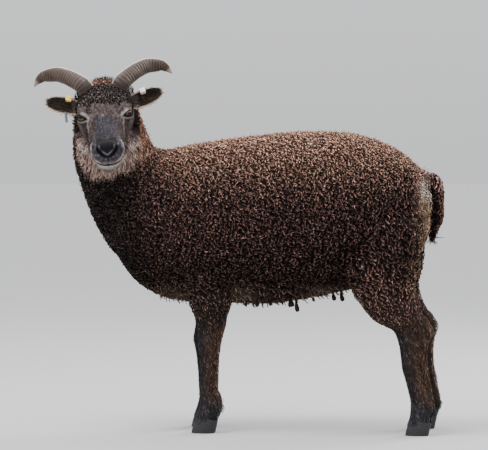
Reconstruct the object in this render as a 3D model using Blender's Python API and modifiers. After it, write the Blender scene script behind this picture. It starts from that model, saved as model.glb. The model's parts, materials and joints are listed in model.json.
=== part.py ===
"""A Soay sheep in its dark fleece, standing square with its head turned to its left, life size.

The animal faces -X, its left side is -Y, and it stands on z = 0. All sizes are metres. Every table of
stations gives the outline of the coat. Under the fleece the core lies CORE_DEPTH inside that outline, and
rounded clumps of wool, set close all over it, reach out to it.
"""

import math

import bmesh
import bpy
import numpy as np
from mathutils import Matrix, Vector
from mathutils.bvhtree import BVHTree

# Driving sizes
WITHERS = 0.560  # height of the back over the shoulders
TRUNK_LENGTH = 0.634  # breast to rump
TRUNK_WIDTH = 0.290  # flank to flank at the widest
HEAD_LENGTH = 0.207  # poll to lips
FORE_LEG_TRACK = 0.130  # left to right fore foot
HIND_LEG_TRACK = 0.144
GAP = 0.0003  # between two nodes that touch
CENTRE = Vector((0.0008, 0.0291, 0.0))  # puts the middle of the whole box over the origin

BREAST_X = -0.258
CORE_DEPTH = 0.012  # half the depth of the fleece

# Fleece clumps of each region: spacing, half height, tilt of the lie
CLUMPS = {
    "trunk": (0.067, 0.025, 0.30),
    "neck": (0.058, 0.023, 0.35),
    "nape": (0.038, 0.019, 0.35),
    "leg": (0.050, 0.021, 0.35),
    "tail": (0.030, 0.014, 0.30),
    "poll": (0.027, 0.012, 0.30),
    "ruff": (0.034, 0.013, 0.45),
}
HEAD_WOOL_DEPTH = 0.004
TAIL_WOOL_DEPTH = 0.005
CLUMP_OVERLAP = 0.78  # a clump's half width as a share of the spacing
CLUMP_VARIETY = 0.12
CLUMP_SIDES = 7
CLUMP_RINGS = (0.62, 1.38)  # angles from a clump's tip
FLEECE_SEED = 7
BODY_TRIANGLES = 8700
HEAD_TRIANGLES = 1900
FLEECE_FOOT_FORE = 0.262  # the fleece's lower limit on the legs
FLEECE_FOOT_HIND = 0.276
NAPE_HEIGHT = 0.600  # above this the neck's clumps are smaller

# Trunk: share of its length, back and belly as shares of the withers' height, half width as a share of the width
TRUNK = (
    (0.000, 0.750, 0.643, 0.120),
    (0.042, 0.857, 0.562, 0.293),
    (0.112, 0.950, 0.486, 0.372),
    (0.205, 0.995, 0.452, 0.420),
    (0.329, 1.018, 0.446, 0.455),
    (0.468, 1.037, 0.443, 0.490),
    (0.608, 1.050, 0.461, 0.500),
    (0.716, 1.048, 0.486, 0.493),
    (0.809, 1.030, 0.509, 0.465),
    (0.887, 0.995, 0.536, 0.414),
    (0.949, 0.946, 0.589, 0.328),
    (0.986, 0.898, 0.660, 0.214),
    (1.000, 0.857, 0.714, 0.120),
)
# Neck: share of the way up, centre x, y, z, half depth (throat to nape), half width
NECK = (
    (0.00, -0.100, 0.000, 0.400, 0.135, 0.095),
    (0.30, -0.177, 0.000, 0.445, 0.123, 0.093),
    (0.60, -0.240, -0.008, 0.515, 0.084, 0.080),
    (0.85, -0.257, -0.022, 0.585, 0.071, 0.069),
    (0.95, -0.262, -0.029, 0.635, 0.058, 0.058),
    (1.00, -0.268, -0.031, 0.665, 0.044, 0.042),
)
# Fore leg: height, centre x, half depth, half width
FORE_LEG = (
    (0.020, -0.065, 0.0210, 0.0200),
    (0.042, -0.0565, 0.0215, 0.0205),
    (0.060, -0.053, 0.0208, 0.0205),
    (0.081, -0.056, 0.0172, 0.0172),
    (0.106, -0.056, 0.0168, 0.0168),
    (0.145, -0.056, 0.0180, 0.0185),
    (0.171, -0.056, 0.0215, 0.0218),
    (0.215, -0.0515, 0.0275, 0.0270),
    (0.248, -0.053, 0.0370, 0.0350),
    (0.290, -0.060, 0.0500, 0.0400),
    (0.360, -0.085, 0.0600, 0.0430),
)
# Hind leg: height, centre x, half depth, half width
HIND_LEG = (
    (0.020, 0.351, 0.0210, 0.0200),
    (0.040, 0.3575, 0.0215, 0.0205),
    (0.060, 0.359, 0.0220, 0.0210),
    (0.094, 0.3520, 0.0220, 0.0180),
    (0.133, 0.343, 0.0230, 0.0185),
    (0.165, 0.341, 0.0250, 0.0205),
    (0.200, 0.340, 0.0345, 0.0260),
    (0.223, 0.316, 0.0500, 0.0320),
    (0.256, 0.294, 0.0540, 0.0390),
    (0.279, 0.284, 0.0590, 0.0450),
    (0.330, 0.279, 0.0770, 0.0530),
    (0.420, 0.280, 0.0830, 0.0550),
)
KNEE_HEIGHT = 0.175
FAR_FORE_KNEE_SHIFT = -0.024  # the right fore leg stands a little ahead of the left
FAR_FORE_FOOT_SHIFT = -0.016
FAR_HIND_SHIFT = 0.006
# Tail: share of its length, centre x, z, half depth, half width
TAIL = (
    (0.00, 0.352, 0.498, 0.0150, 0.0190),
    (0.18, 0.374, 0.482, 0.0165, 0.0215),
    (0.45, 0.3835, 0.450, 0.0160, 0.0230),
    (0.72, 0.3825, 0.420, 0.0150, 0.0205),
    (0.90, 0.377, 0.398, 0.0100, 0.0140),
    (1.00, 0.372, 0.381, 0.0040, 0.0060),
)

# The head's frame: x to the animal's right, y along the nose, z out of the forehead
HEAD_TURN = math.radians(97)  # from straight ahead to its left
HEAD_PITCH = math.radians(50)  # nose below the horizon
HEAD_ROLL = math.radians(5.5)  # left ear raised
HEAD_ORIGIN = Vector((-0.265, -0.050, 0.6725))
MUZZLE_LIFT = math.radians(18)  # the nose is raised from the line of the forehead
MUZZLE_BEND = (0.088, 0.128, -0.008)  # where along the head it starts and ends, and the height of its axis
# Skull and muzzle: share of the head's length, top, bottom, half width, how much wider the top is
SKULL = (
    (-0.170, -0.018, -0.033, 0.011, 0.00),
    (-0.120, -0.006, -0.046, 0.029, 0.00),
    (0.000, 0.020, -0.055, 0.047, 0.00),
    (0.145, 0.0365, -0.061, 0.0515, 0.05),
    (0.270, 0.042, -0.063, 0.0545, 0.08),
    (0.370, 0.040, -0.062, 0.0560, 0.08),
    (0.440, 0.038, -0.059, 0.0520, 0.03),
    (0.530, 0.0355, -0.053, 0.0430, -0.06),
    (0.680, 0.033, -0.052, 0.0345, -0.12),
    (0.800, 0.031, -0.047, 0.0315, -0.06),
    (0.895, 0.026, -0.044, 0.0295, 0.00),
    (0.965, 0.015, -0.037, 0.0235, 0.00),
    (1.000, 0.003, -0.024, 0.0110, 0.00),
)
# Round masses on each side of the head: centre and half sizes, in the head's frame
BROW = ((0.036, 0.070, 0.019), (0.0175, 0.0260, 0.0155))
CHEEK = ((0.034, 0.078, -0.030), (0.0190, 0.0420, 0.0300))
LIP = ((0.013, 0.181, -0.001), (0.0200, 0.0210, 0.0215))
CHIN = ((0.000, 0.177, -0.034), (0.0190, 0.0205, 0.0150))
NOSE_PAD = ((0.000, 0.192, 0.011), (0.0210, 0.0120, 0.0130))

EYE_CENTRE = Vector((0.0400, 0.0860, 0.0150))
EYE_RADIUS = 0.0130
EYE_GAZE = Vector((0.66, 0.48, 0.58)).normalized()
LID_RADIUS = 0.0150
EYE_OPENING = (0.0112, 0.0064, 0.0110)  # half its length, half its height, half the cut's depth

HORN_ROOT = Vector((0.0350, 0.0203, 0.0281))
# Horn: share of its length, how far out, up and back from its root, half breadth, half thickness
HORN = (
    (-0.12, -0.0050, -0.0120, 0.0020, 0.0165, 0.0130),
    (0.00, 0.0000, 0.0000, 0.0000, 0.0165, 0.0130),
    (0.16, 0.0137, 0.0122, 0.0120, 0.0162, 0.0126),
    (0.41, 0.0360, 0.0257, 0.0350, 0.0152, 0.0116),
    (0.62, 0.0576, 0.0325, 0.0550, 0.0144, 0.0106),
    (0.79, 0.0790, 0.0315, 0.0660, 0.0117, 0.0084),
    (0.90, 0.0918, 0.0240, 0.0680, 0.0076, 0.0056),
    (1.00, 0.1012, 0.0130, 0.0650, 0.0012, 0.0010),
)
HORN_RINGS = 12  # growth rings along a horn
RING_RELIEF = 0.05

EAR_ROOT = Vector((0.0400, 0.0414, -0.0088))
EAR_LENGTH = 0.077
EAR_RAISE = math.radians(15)
EAR_CUT = 0.017  # where the ear leaves the head
EAR_THICKNESS = 0.0036
# Ear: share of its length, half width, half angle that its cup turns through
EAR = (
    (0.00, 0.0098, 1.50),
    (0.25, 0.0140, 1.25),
    (0.50, 0.0160, 0.95),
    (0.75, 0.0137, 0.75),
    (0.92, 0.0083, 0.60),
    (1.00, 0.0030, 0.50),
)

TAG_SIZE_RIGHT = (0.0120, 0.0150, 0.0090)  # along the ear, down it, across it
TAG_SIZE_LEFT = (0.0110, 0.0160, 0.0090)
PIN_SIZE = (0.0046, 0.0210, 0.0064)
PIN_HANG = 0.0060  # how far its middle hangs below the ear's lower edge
TAG_RISE = 0.0014  # how far a tag stands over the ear's upper edge
TAG_PLAY = 0.0007  # between a tag and the ear it is clipped on

HOOF_LENGTH = 0.045
HOOF_HEIGHT = 0.030
CLAW_WIDTH = 0.0185
CORONET_SLOPE = 0.22  # fall of the hoof's top from toe to heel

FLEECE_COLOUR = (0.055, 0.028, 0.020)
FACE_COLOUR = (0.110, 0.075, 0.062)
LEG_COLOUR = (0.060, 0.036, 0.027)
EAR_COLOUR = (0.060, 0.038, 0.028)
HORN_COLOUR = (0.200, 0.155, 0.125)
HOOF_COLOUR = (0.060, 0.055, 0.058)
EYE_COLOUR = (0.200, 0.110, 0.025)
YELLOW_TAG_COLOUR = (0.850, 0.600, 0.050)
WHITE_TAG_COLOUR = (0.800, 0.760, 0.680)
GREY_TAG_COLOUR = (0.160, 0.180, 0.210)


def clear_scene():
    for old in list(bpy.data.objects):
        bpy.data.objects.remove(old)


def make_collection(name):
    made = bpy.data.collections.new(name)
    bpy.context.scene.collection.children.link(made)
    return made


def make_material(name, colour, roughness):
    material = bpy.data.materials.new(name)
    material.use_nodes = True
    shader = material.node_tree.nodes["Principled BSDF"]
    shader.inputs["Base Color"].default_value = (*colour, 1.0)
    shader.inputs["Roughness"].default_value = roughness
    shader.inputs["Metallic"].default_value = 0.0
    material.diffuse_color = (*colour, 1.0)
    return material


def read_stations(table, places):
    """The columns of a table after its first, read at these places by a cubic that never overshoots."""
    rows = np.array(table, float)
    known, values = rows[:, 0], rows[:, 1:]
    step = np.diff(known)[:, None]
    slope = np.diff(values, axis=0) / step
    tangent = np.zeros_like(values)
    tangent[0], tangent[-1] = slope[0], slope[-1]
    before, after = slope[:-1], slope[1:]
    turning = before * after <= 0
    tangent[1:-1] = np.where(turning, 0, 2 * before * after / np.where(turning, 1, before + after))
    places = np.asarray(places, float)
    i = np.clip(np.searchsorted(known, places) - 1, 0, len(known) - 2)
    t = ((places - known[i]) / step[i, 0])[:, None]
    h = step[i]
    return (
        (2 * t**3 - 3 * t**2 + 1) * values[i]
        + (t**3 - 2 * t**2 + t) * h * tangent[i]
        + (3 * t**2 - 2 * t**3) * values[i + 1]
        + (t**3 - t**2) * h * tangent[i + 1]
    )


def new_object(name, mesh, collection):
    made = bpy.data.objects.new(name, mesh)
    collection.objects.link(made)
    return made


def loft(name, rings, collection):
    """A closed skin through rings of points, each a list of as many vectors, with flat ends."""
    shape = bmesh.new()
    rows = [[shape.verts.new(point) for point in ring] for ring in rings]
    sides = len(rows[0])
    for low, high in zip(rows, rows[1:]):
        for i in range(sides):
            j = (i + 1) % sides
            shape.faces.new((low[i], low[j], high[j], high[i]))
    shape.faces.new(reversed(rows[0]))
    shape.faces.new(rows[-1])
    bmesh.ops.recalc_face_normals(shape, faces=shape.faces)
    mesh = bpy.data.meshes.new(name)
    shape.to_mesh(mesh)
    shape.free()
    return new_object(name, mesh, collection)


def oval(centre, across, up, sides, squareness=2.0, top_wider=0.0):
    """One ring of a loft: an ellipse, or a squarer one above 2, that can be wider at its top."""
    ring = []
    for i in range(sides):
        angle = 2 * math.pi * i / sides
        c, s = math.cos(angle), math.sin(angle)
        c = math.copysign(abs(c) ** (2 / squareness), c)
        s = math.copysign(abs(s) ** (2 / squareness), s)
        ring.append(centre + across * (c * (1 + top_wider * s)) + up * s)
    return ring


def ellipsoid(name, centre, radii, collection, matrix=None, subdivisions=3):
    shape = bmesh.new()
    bmesh.ops.create_icosphere(shape, subdivisions=subdivisions, radius=1.0)
    mesh = bpy.data.meshes.new(name)
    shape.to_mesh(mesh)
    shape.free()
    mesh.transform(Matrix.Translation(centre) @ Matrix.Diagonal((*radii, 1.0)))
    if matrix is not None:
        mesh.transform(matrix)
    return new_object(name, mesh, collection)


def settle(item):
    """Makes the object's mesh what its modifiers show, and takes the modifiers off."""
    graph = bpy.context.evaluated_depsgraph_get()
    mesh = bpy.data.meshes.new_from_object(item.evaluated_get(graph))
    item.modifiers.clear()
    item.data = mesh
    return item


def thin_out(item, triangles):
    """Takes out the least needed triangles until about so many are left."""
    item.data.calc_loop_triangles()
    thin = item.modifiers.new("thin", "DECIMATE")
    thin.ratio = min(1.0, triangles / len(item.data.loop_triangles))
    thin.use_collapse_triangulate = True
    return settle(item)


def merge_soft(items, voxel, smoothing, triangles):
    """One organic skin over overlapping pieces: voxel remesh, smooth, then thin out to about so many triangles."""
    base = items[0]
    shape = bmesh.new()
    for item in items:
        item.data.transform(item.matrix_basis)
        shape.from_mesh(item.data)
    mesh = bpy.data.meshes.new(base.name)
    shape.to_mesh(mesh)
    shape.free()
    base.data = mesh
    base.matrix_basis = Matrix.Identity(4)
    for item in items[1:]:
        bpy.data.objects.remove(item)
    remesh = base.modifiers.new("skin", "REMESH")
    remesh.mode = "VOXEL"
    remesh.voxel_size = voxel
    relax = base.modifiers.new("relax", "LAPLACIANSMOOTH")
    relax.iterations = smoothing
    relax.lambda_factor = 0.8
    relax.lambda_border = 0.0
    return thin_out(settle(base), triangles)


def combine(base, others, operation, solver="MANIFOLD"):
    """Joins a collection of closed meshes to the base, or cuts it with them, and removes them."""
    boolean = base.modifiers.new(operation.lower(), "BOOLEAN")
    boolean.operation = operation
    boolean.operand_type = "COLLECTION"
    boolean.collection = others
    boolean.solver = solver
    settle(base)
    for item in list(others.objects):
        bpy.data.objects.remove(item)
    bpy.data.collections.remove(others)
    return base


def slab(name, centre, normal, side_u, side_v, collection):
    """A thin square cut across the model, GAP thick."""
    shape = bmesh.new()
    bmesh.ops.create_cube(shape, size=1.0)
    mesh = bpy.data.meshes.new(name)
    shape.to_mesh(mesh)
    shape.free()
    turn = Vector(normal).to_track_quat("Z", "X").to_matrix().to_4x4()
    mesh.transform(Matrix.Translation(centre) @ turn @ Matrix.Diagonal((side_u, side_v, GAP, 1.0)))
    return new_object(name, mesh, collection)


def head_matrix():
    """Places the head's own frame on the neck."""
    facing = Vector((-math.cos(HEAD_TURN), -math.sin(HEAD_TURN), 0))
    left = Vector((-facing.y, facing.x, 0))
    up = Vector((0, 0, 1))
    left_rolled = left * math.cos(HEAD_ROLL) + up * math.sin(HEAD_ROLL)
    up_rolled = up * math.cos(HEAD_ROLL) - left * math.sin(HEAD_ROLL)
    nose = facing * math.cos(HEAD_PITCH) - up_rolled * math.sin(HEAD_PITCH)
    brow = facing * math.sin(HEAD_PITCH) + up_rolled * math.cos(HEAD_PITCH)
    turn = Matrix((-left_rolled, nose, brow)).transposed().to_4x4()
    return Matrix.Translation(HEAD_ORIGIN) @ turn


HEAD = head_matrix()
HEAD_UP = Vector((0, -math.sin(HEAD_PITCH), math.cos(HEAD_PITCH)))  # straight up, in the head's frame
HEAD_FACING = Vector((0, math.cos(HEAD_PITCH), math.sin(HEAD_PITCH)))


def mirrored(point, side):
    return Vector((point[0] * side, point[1], point[2]))


def lift_muzzle(item):
    """Bends the front of a head's piece up, in the head's frame."""
    start, end, axis = MUZZLE_BEND
    radius = (end - start) / MUZZLE_LIFT
    for vert in item.data.vertices:
        x, y, z = vert.co
        if y <= start:
            continue
        angle = MUZZLE_LIFT * min(1.0, (y - start) / (end - start))
        beyond = max(0.0, y - end)
        along = start + radius * math.sin(angle) + beyond * math.cos(angle)
        height = axis + radius * (1 - math.cos(angle)) + beyond * math.sin(angle)
        vert.co = (x, along - (z - axis) * math.sin(angle), height + (z - axis) * math.cos(angle))
    return item


def trunk_loft(collection):
    places = np.concatenate([np.linspace(0, 0.1, 6), np.linspace(0.14, 0.9, 16), np.linspace(0.925, 1, 6)])
    rings = []
    for share, (top, bottom, width) in zip(places, read_stations(TRUNK, places)):
        half_height = (top - bottom) * WITHERS / 2 - CORE_DEPTH
        x = BREAST_X + CORE_DEPTH + share * (TRUNK_LENGTH - 2 * CORE_DEPTH)
        centre = Vector((x, 0, (top + bottom) * WITHERS / 2))
        across = Vector((0, width * TRUNK_WIDTH - CORE_DEPTH, 0))
        rings.append(oval(centre, across, Vector((0, 0, half_height)), 32, 2.15))
    return loft("trunk", rings, collection)


def neck_loft(collection):
    places = np.linspace(0, 1, 14)
    stations = read_stations(NECK, places)
    centres = [Vector(row[:3]) for row in stations]
    rings = []
    for i, (x, y, z, depth, width) in enumerate(stations):
        along = (centres[min(i + 1, 13)] - centres[max(i - 1, 0)]).normalized()
        across = along.cross(Vector((1, 0, 0))).normalized()
        back = across.cross(along).normalized()
        rings.append(oval(centres[i], across * (width - CORE_DEPTH), back * (depth - CORE_DEPTH), 28))
    return loft("neck", rings, collection)


def lean(height, knee_shift, foot_shift):
    """How far a leg's centre line is moved along x at a height."""
    return float(np.interp(height, (0.05, KNEE_HEIGHT, 0.33), (foot_shift, knee_shift, 0.0)))


def leg_loft(name, table, y, knee_shift, foot_shift, fleece_foot, collection):
    lowest, highest = table[0][0], table[-1][0]
    heights = np.linspace(lowest, highest, 30)
    rings = []
    for height, (x, depth, width) in zip(heights, read_stations(table, heights)):
        centre = Vector((x + lean(height, knee_shift, foot_shift), y, height))
        inset = CORE_DEPTH * min(1.0, max(0.0, (height - fleece_foot + 0.018) / 0.036))
        rings.append(oval(centre, Vector((0, width - inset, 0)), Vector((depth - inset, 0, 0)), 20))
    return loft(name, rings, collection)


def tail_loft(collection):
    places = np.linspace(0, 1, 14)
    stations = read_stations(TAIL, places)
    centres = [Vector((row[0], 0, row[1])) for row in stations]
    rings = []
    for i, (x, z, depth, width) in enumerate(stations):
        along = (centres[min(i + 1, 13)] - centres[max(i - 1, 0)]).normalized()
        across = Vector((0, 1, 0))
        inset = TAIL_WOOL_DEPTH * min(1.0, (depth - 0.003) / 0.010)
        rings.append(oval(centres[i], across * (width - inset), across.cross(along) * (depth - inset), 16))
    return loft("tail_core", rings, collection)


LEGS = {
    # name: (table, side, track, knee shift, foot shift)
    "leg_front_left": (FORE_LEG, -1, FORE_LEG_TRACK, 0.0, 0.0),
    "leg_front_right": (FORE_LEG, 1, FORE_LEG_TRACK, FAR_FORE_KNEE_SHIFT, FAR_FORE_FOOT_SHIFT),
    "leg_hind_left": (HIND_LEG, -1, HIND_LEG_TRACK, 0.0, 0.0),
    "leg_hind_right": (HIND_LEG, 1, HIND_LEG_TRACK, FAR_HIND_SHIFT, FAR_HIND_SHIFT),
}


def body_core(collection):
    pieces = [trunk_loft(collection), neck_loft(collection), tail_loft(collection)]
    for name, (table, side, track, knee_shift, foot_shift) in LEGS.items():
        fleece_foot = FLEECE_FOOT_FORE if table is FORE_LEG else FLEECE_FOOT_HIND
        y = side * track / 2
        pieces.append(leg_loft(name + "_core", table, y, knee_shift, foot_shift, fleece_foot, collection))
    return merge_soft(pieces, 0.005, 6, 2200)


def head_core(collection):
    places = np.linspace(SKULL[0][0], SKULL[-1][0], 24)
    rings = []
    for share, (top, bottom, width, wider) in zip(places, read_stations(SKULL, places)):
        centre = Vector((0, share * HEAD_LENGTH, (top + bottom) / 2))
        up = Vector((0, 0, (top - bottom) / 2))
        rings.append(oval(centre, Vector((width, 0, 0)), up, 28, 2.15, wider))
    pieces = [loft("head_core", rings, collection)]
    for name, (centre, radii) in (("brow", BROW), ("cheek", CHEEK), ("lip", LIP)):
        for side in (1, -1):
            pieces.append(ellipsoid(name, mirrored(centre, side), radii, collection))
    for name, (centre, radii) in (("chin", CHIN), ("nose_pad", NOSE_PAD)):
        pieces.append(ellipsoid(name, Vector(centre), radii, collection))
    core = lift_muzzle(merge_soft(pieces, 0.0022, 5, 1500))
    core.data.transform(HEAD)
    return core


def horn_loft(name, side, collection):
    """One horn, in the head's frame: each growth ring is a low swelling."""
    places = np.linspace(HORN[0][0], 1, 2 * HORN_RINGS + 6)
    stations = read_stations(HORN, places)
    centres = []
    for out, up, back, *_ in stations:
        offset = Vector((out, 0, 0)) + HEAD_UP * up - HEAD_FACING * back
        centres.append(mirrored(HORN_ROOT + offset, side))
    rings = []
    last = len(centres) - 1
    for i, (share, row) in enumerate(zip(places, stations)):
        along = (centres[min(i + 1, last)] - centres[max(i - 1, 0)]).normalized()
        flat = along.cross(HEAD_FACING).normalized()
        thick = flat.cross(along).normalized()
        swell = 1 + RING_RELIEF * (i % 2) * min(1.0, 3 * (1 - share))
        rings.append(oval(centres[i], flat * row[3] * swell, thick * row[4] * swell, 10, 2.3))
    horn = loft(name, rings, collection)
    horn.data.transform(HEAD)
    return horn


def ear_frame(side):
    """The ear's axes in the head's frame: along it, across it, and out of its cup."""
    out = Vector((side, 0, 0))
    along = (out * math.cos(EAR_RAISE) + HEAD_UP * math.sin(EAR_RAISE) - HEAD_FACING * 0.10).normalized()
    cup = (HEAD_FACING - HEAD_UP * 0.20 - along * HEAD_FACING.dot(along)).normalized()
    return along, along.cross(cup).normalized() * side, cup


def ear_shell(name, side, collection, grow=0.0):
    """The curved leaf of an ear; grow makes a slightly larger copy to cut its seat in another piece."""
    along, across, cup = ear_frame(side)
    root = mirrored(EAR_ROOT, side)
    places = np.linspace(0, 1, 10)
    shape = bmesh.new()
    rows = []
    for share, (width, turn) in zip(places, read_stations(EAR, places)):
        radius = (width + grow) / math.sin(min(turn, math.pi / 2))
        row = []
        for j in range(9):
            angle = turn * (j / 4 - 1)
            point = root + along * (share * EAR_LENGTH)
            point += across * (radius * math.sin(angle)) + cup * (radius * (1 - math.cos(angle)))
            row.append(shape.verts.new(HEAD @ point))
        rows.append(row)
    for low, high in zip(rows, rows[1:]):
        for a, b, c, d in zip(low, low[1:], high[1:], high):
            shape.faces.new((a, b, c, d))
    mesh = bpy.data.meshes.new(name)
    shape.to_mesh(mesh)
    shape.free()
    ear = new_object(name, mesh, collection)
    wall = ear.modifiers.new("wall", "SOLIDIFY")
    wall.thickness = EAR_THICKNESS + 2 * grow
    wall.offset = 0.0
    settle(ear)
    shape = bmesh.new()
    shape.from_mesh(ear.data)
    bmesh.ops.recalc_face_normals(shape, faces=shape.faces)
    shape.to_mesh(ear.data)
    shape.free()
    return ear


def surface_points(item, count, rng):
    """Points spread at random over an object's skin, with the normal at each, and the skin's area per point."""
    mesh = item.data
    mesh.calc_loop_triangles()
    corners = np.array([[mesh.vertices[i].co for i in tri.vertices] for tri in mesh.loop_triangles])
    normals = np.cross(corners[:, 1] - corners[:, 0], corners[:, 2] - corners[:, 0])
    areas = np.linalg.norm(normals, axis=1) / 2
    pick = rng.choice(len(areas), count, p=areas / areas.sum())
    u, v = np.sqrt(rng.random(count)), rng.random(count)
    weights = np.stack([1 - u, u * (1 - v), u * v], axis=1)
    points = np.einsum("ij,ijk->ik", weights, corners[pick])
    return points, normals[pick] / (2 * areas[pick, None]), areas.sum() / count


def spread_evenly(points, count, rng):
    """Picks about so many of the points, as evenly set as possible."""
    chosen = [int(rng.integers(len(points)))]
    reach = np.linalg.norm(points - points[chosen[0]], axis=1)
    while len(chosen) < count:
        chosen.append(int(np.argmax(reach)))
        reach = np.minimum(reach, np.linalg.norm(points - points[chosen[-1]], axis=1))
    centres = points[chosen]
    for _ in range(12):
        owner = np.argmin(((points[:, None] - centres[None]) ** 2).sum(axis=2), axis=1)
        for i in range(count):
            if np.any(owner == i):
                centres[i] = points[owner == i].mean(axis=0)
    return np.unique(np.argmin(((points[:, None] - centres[None]) ** 2).sum(axis=2), axis=0))


def distance_to_line(points, start, end):
    line = end - start
    share = np.clip((points - start) @ line / (line @ line), 0, 1)
    return np.linalg.norm(points - start - share[:, None] * line, axis=1)


def knob(matrix):
    """A low round closed knob with its tip up, most of its rings near the tip."""
    shape = bmesh.new()
    rows = []
    for angle in CLUMP_RINGS:
        row = []
        for i in range(CLUMP_SIDES):
            turn = 2 * math.pi * (i + 0.5 * len(rows)) / CLUMP_SIDES
            flat = math.sin(angle)
            row.append(shape.verts.new((flat * math.cos(turn), flat * math.sin(turn), math.cos(angle))))
        rows.append(row)
    tip, root = shape.verts.new((0, 0, 1)), shape.verts.new((0, 0, -1))
    for i in range(CLUMP_SIDES):
        j = (i + 1) % CLUMP_SIDES
        shape.faces.new((tip, rows[0][i], rows[0][j]))
        shape.faces.new((root, rows[-1][j], rows[-1][i]))
        for upper, lower in zip(rows, rows[1:]):
            shape.faces.new((upper[i], lower[i], upper[j]))
            shape.faces.new((upper[j], lower[i], lower[j]))
    bmesh.ops.transform(shape, matrix=matrix, verts=shape.verts)
    bmesh.ops.recalc_face_normals(shape, faces=shape.faces)
    mesh = bpy.data.meshes.new("knob")
    shape.to_mesh(mesh)
    shape.free()
    return mesh


def clump_group(region, points, normals, area_each, depth, rng, collection):
    """Sets one closed knob of wool at each evenly spread point, its root deep in the core."""
    spacing, height, tilt = CLUMPS[region]
    count = max(1, round(len(points) * area_each / (0.866 * spacing**2)))
    for i in spread_evenly(points, count, rng):
        normal = Vector(normals[i])
        lie = Vector((0.55, 0, -1.0))
        lie = (lie - normal * lie.dot(normal)).normalized()
        size = 1 + CLUMP_VARIETY * rng.uniform(-1, 1)
        half = spacing * CLUMP_OVERLAP * size
        tall = height * (1 + 0.5 * CLUMP_VARIETY * rng.uniform(-1, 1))
        out = (normal + lie * tilt * rng.uniform(0.6, 1.2)).normalized()
        side = out.cross(lie).normalized()
        turn = Matrix((side.cross(out), side, out)).transposed().to_4x4()
        top = depth * (1 + 0.10 * rng.uniform(-1, 1))
        place = Matrix.Translation(Vector(points[i]) + normal * (top - tall))
        spin = Matrix.Rotation(rng.uniform(0, 2 * math.pi), 4, "Z")
        radii = Matrix.Diagonal((half * 1.06, half * 0.94, tall, 1.0))
        new_object("clump", knob(place @ turn @ radii @ spin), collection)


def horn_point(share, side):
    """A place on a horn's axis, in the model's frame."""
    out, up, back = read_stations(HORN, [share])[0][:3]
    return HEAD @ mirrored(HORN_ROOT + Vector((out, 0, 0)) + HEAD_UP * up - HEAD_FACING * back, side)


def add_fleece(whole, head):
    """Covers the trunk, neck, thighs, tail, poll and jaw with clumps, each body's in one union."""
    rng = np.random.default_rng(FLEECE_SEED)
    collection = make_collection("fleece_clumps")
    points, normals, area_each = surface_points(whole, 24000, rng)
    x, y, z = points.T
    skull = BVHTree.FromObject(head, bpy.context.evaluated_depsgraph_get())
    under_head = np.zeros(len(points), bool)
    for i in np.flatnonzero(z > 0.48):
        near, normal, _, distance = skull.find_nearest(Vector(points[i]), 0.03)
        if near is not None:
            under_head[i] = distance < 0.007 or (Vector(points[i]) - near).dot(normal) < 0
    lower = np.where(x < 0.1, FLEECE_FOOT_FORE, FLEECE_FOOT_HIND)
    clothed = (z > lower) & ~under_head
    by_tail = (np.abs(y) < 0.024) & (x > 0.345) & (z > 0.375) & (z < 0.510)
    tail = by_tail & (x > 0.372) & clothed
    clear = np.ones(len(points), bool)
    for side in (1, -1):
        along, _, _ = ear_frame(side)
        ear = mirrored(EAR_ROOT, side) + along * EAR_CUT
        clear &= distance_to_line(points, np.array(HEAD @ ear), np.array(HEAD @ (ear + along * 0.04))) > 0.036
        clear &= distance_to_line(points, np.array(horn_point(0.14, side)), np.array(horn_point(0.5, side))) > 0.036
    high = z > NAPE_HEIGHT
    neck = clothed & ~high & (-0.8 * (x + 0.215) + 0.6 * (z - 0.485) > 0)
    nape = clothed & high & clear & (x < -0.1)
    leg = clothed & (z < 0.30) & (np.abs(normals[:, 2]) < 0.75) & (np.abs(y) > 0.03)
    leg &= ((x > -0.13) & (x < 0.02)) | (x > 0.20)
    trunk = clothed & ~high & ~neck & ~leg & ~by_tail
    groups = (
        ("trunk", trunk, CORE_DEPTH), ("neck", neck, CORE_DEPTH), ("nape", nape, CORE_DEPTH),
        ("leg", leg, CORE_DEPTH), ("tail", tail, TAIL_WOOL_DEPTH),
    )
    for region, mask, depth in groups:
        clump_group(region, points[mask], normals[mask], area_each, depth, rng, collection)
    thin_out(combine(whole, collection, "UNION"), BODY_TRIANGLES)
    collection = make_collection("head_clumps")
    points, normals, area_each = surface_points(head, 9000, rng)
    local = (points - np.array(HEAD.translation)) @ np.array(HEAD.to_3x3())
    facing = normals @ np.array(HEAD.to_3x3())
    clear = np.ones(len(points), bool)
    for side in (1, -1):
        along, _, _ = ear_frame(side)
        ear = np.array(HEAD @ mirrored(EAR_ROOT, side)), np.array(HEAD @ (mirrored(EAR_ROOT, side) + along * 0.04))
        horn = np.array(horn_point(-0.1, side)), np.array(horn_point(0.3, side))
        clear &= distance_to_line(points, *ear) > 0.032
        clear &= distance_to_line(points, *horn) > 0.024
        clear &= np.linalg.norm(points - np.array(HEAD @ eye_centre(side)), axis=1) > 0.036
    poll = clear & (local[:, 1] < 0.040) & (facing[:, 2] > 0.1)
    ruff = clear & (local[:, 1] > 0.0) & (local[:, 1] < 0.105) & (local[:, 2] < -0.012) & (facing[:, 2] < 0.2)
    for region, mask in (("poll", poll), ("ruff", ruff)):
        clump_group(region, points[mask], normals[mask], area_each, HEAD_WOOL_DEPTH, rng, collection)
    thin_out(combine(head, collection, "UNION"), HEAD_TRIANGLES)


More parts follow.
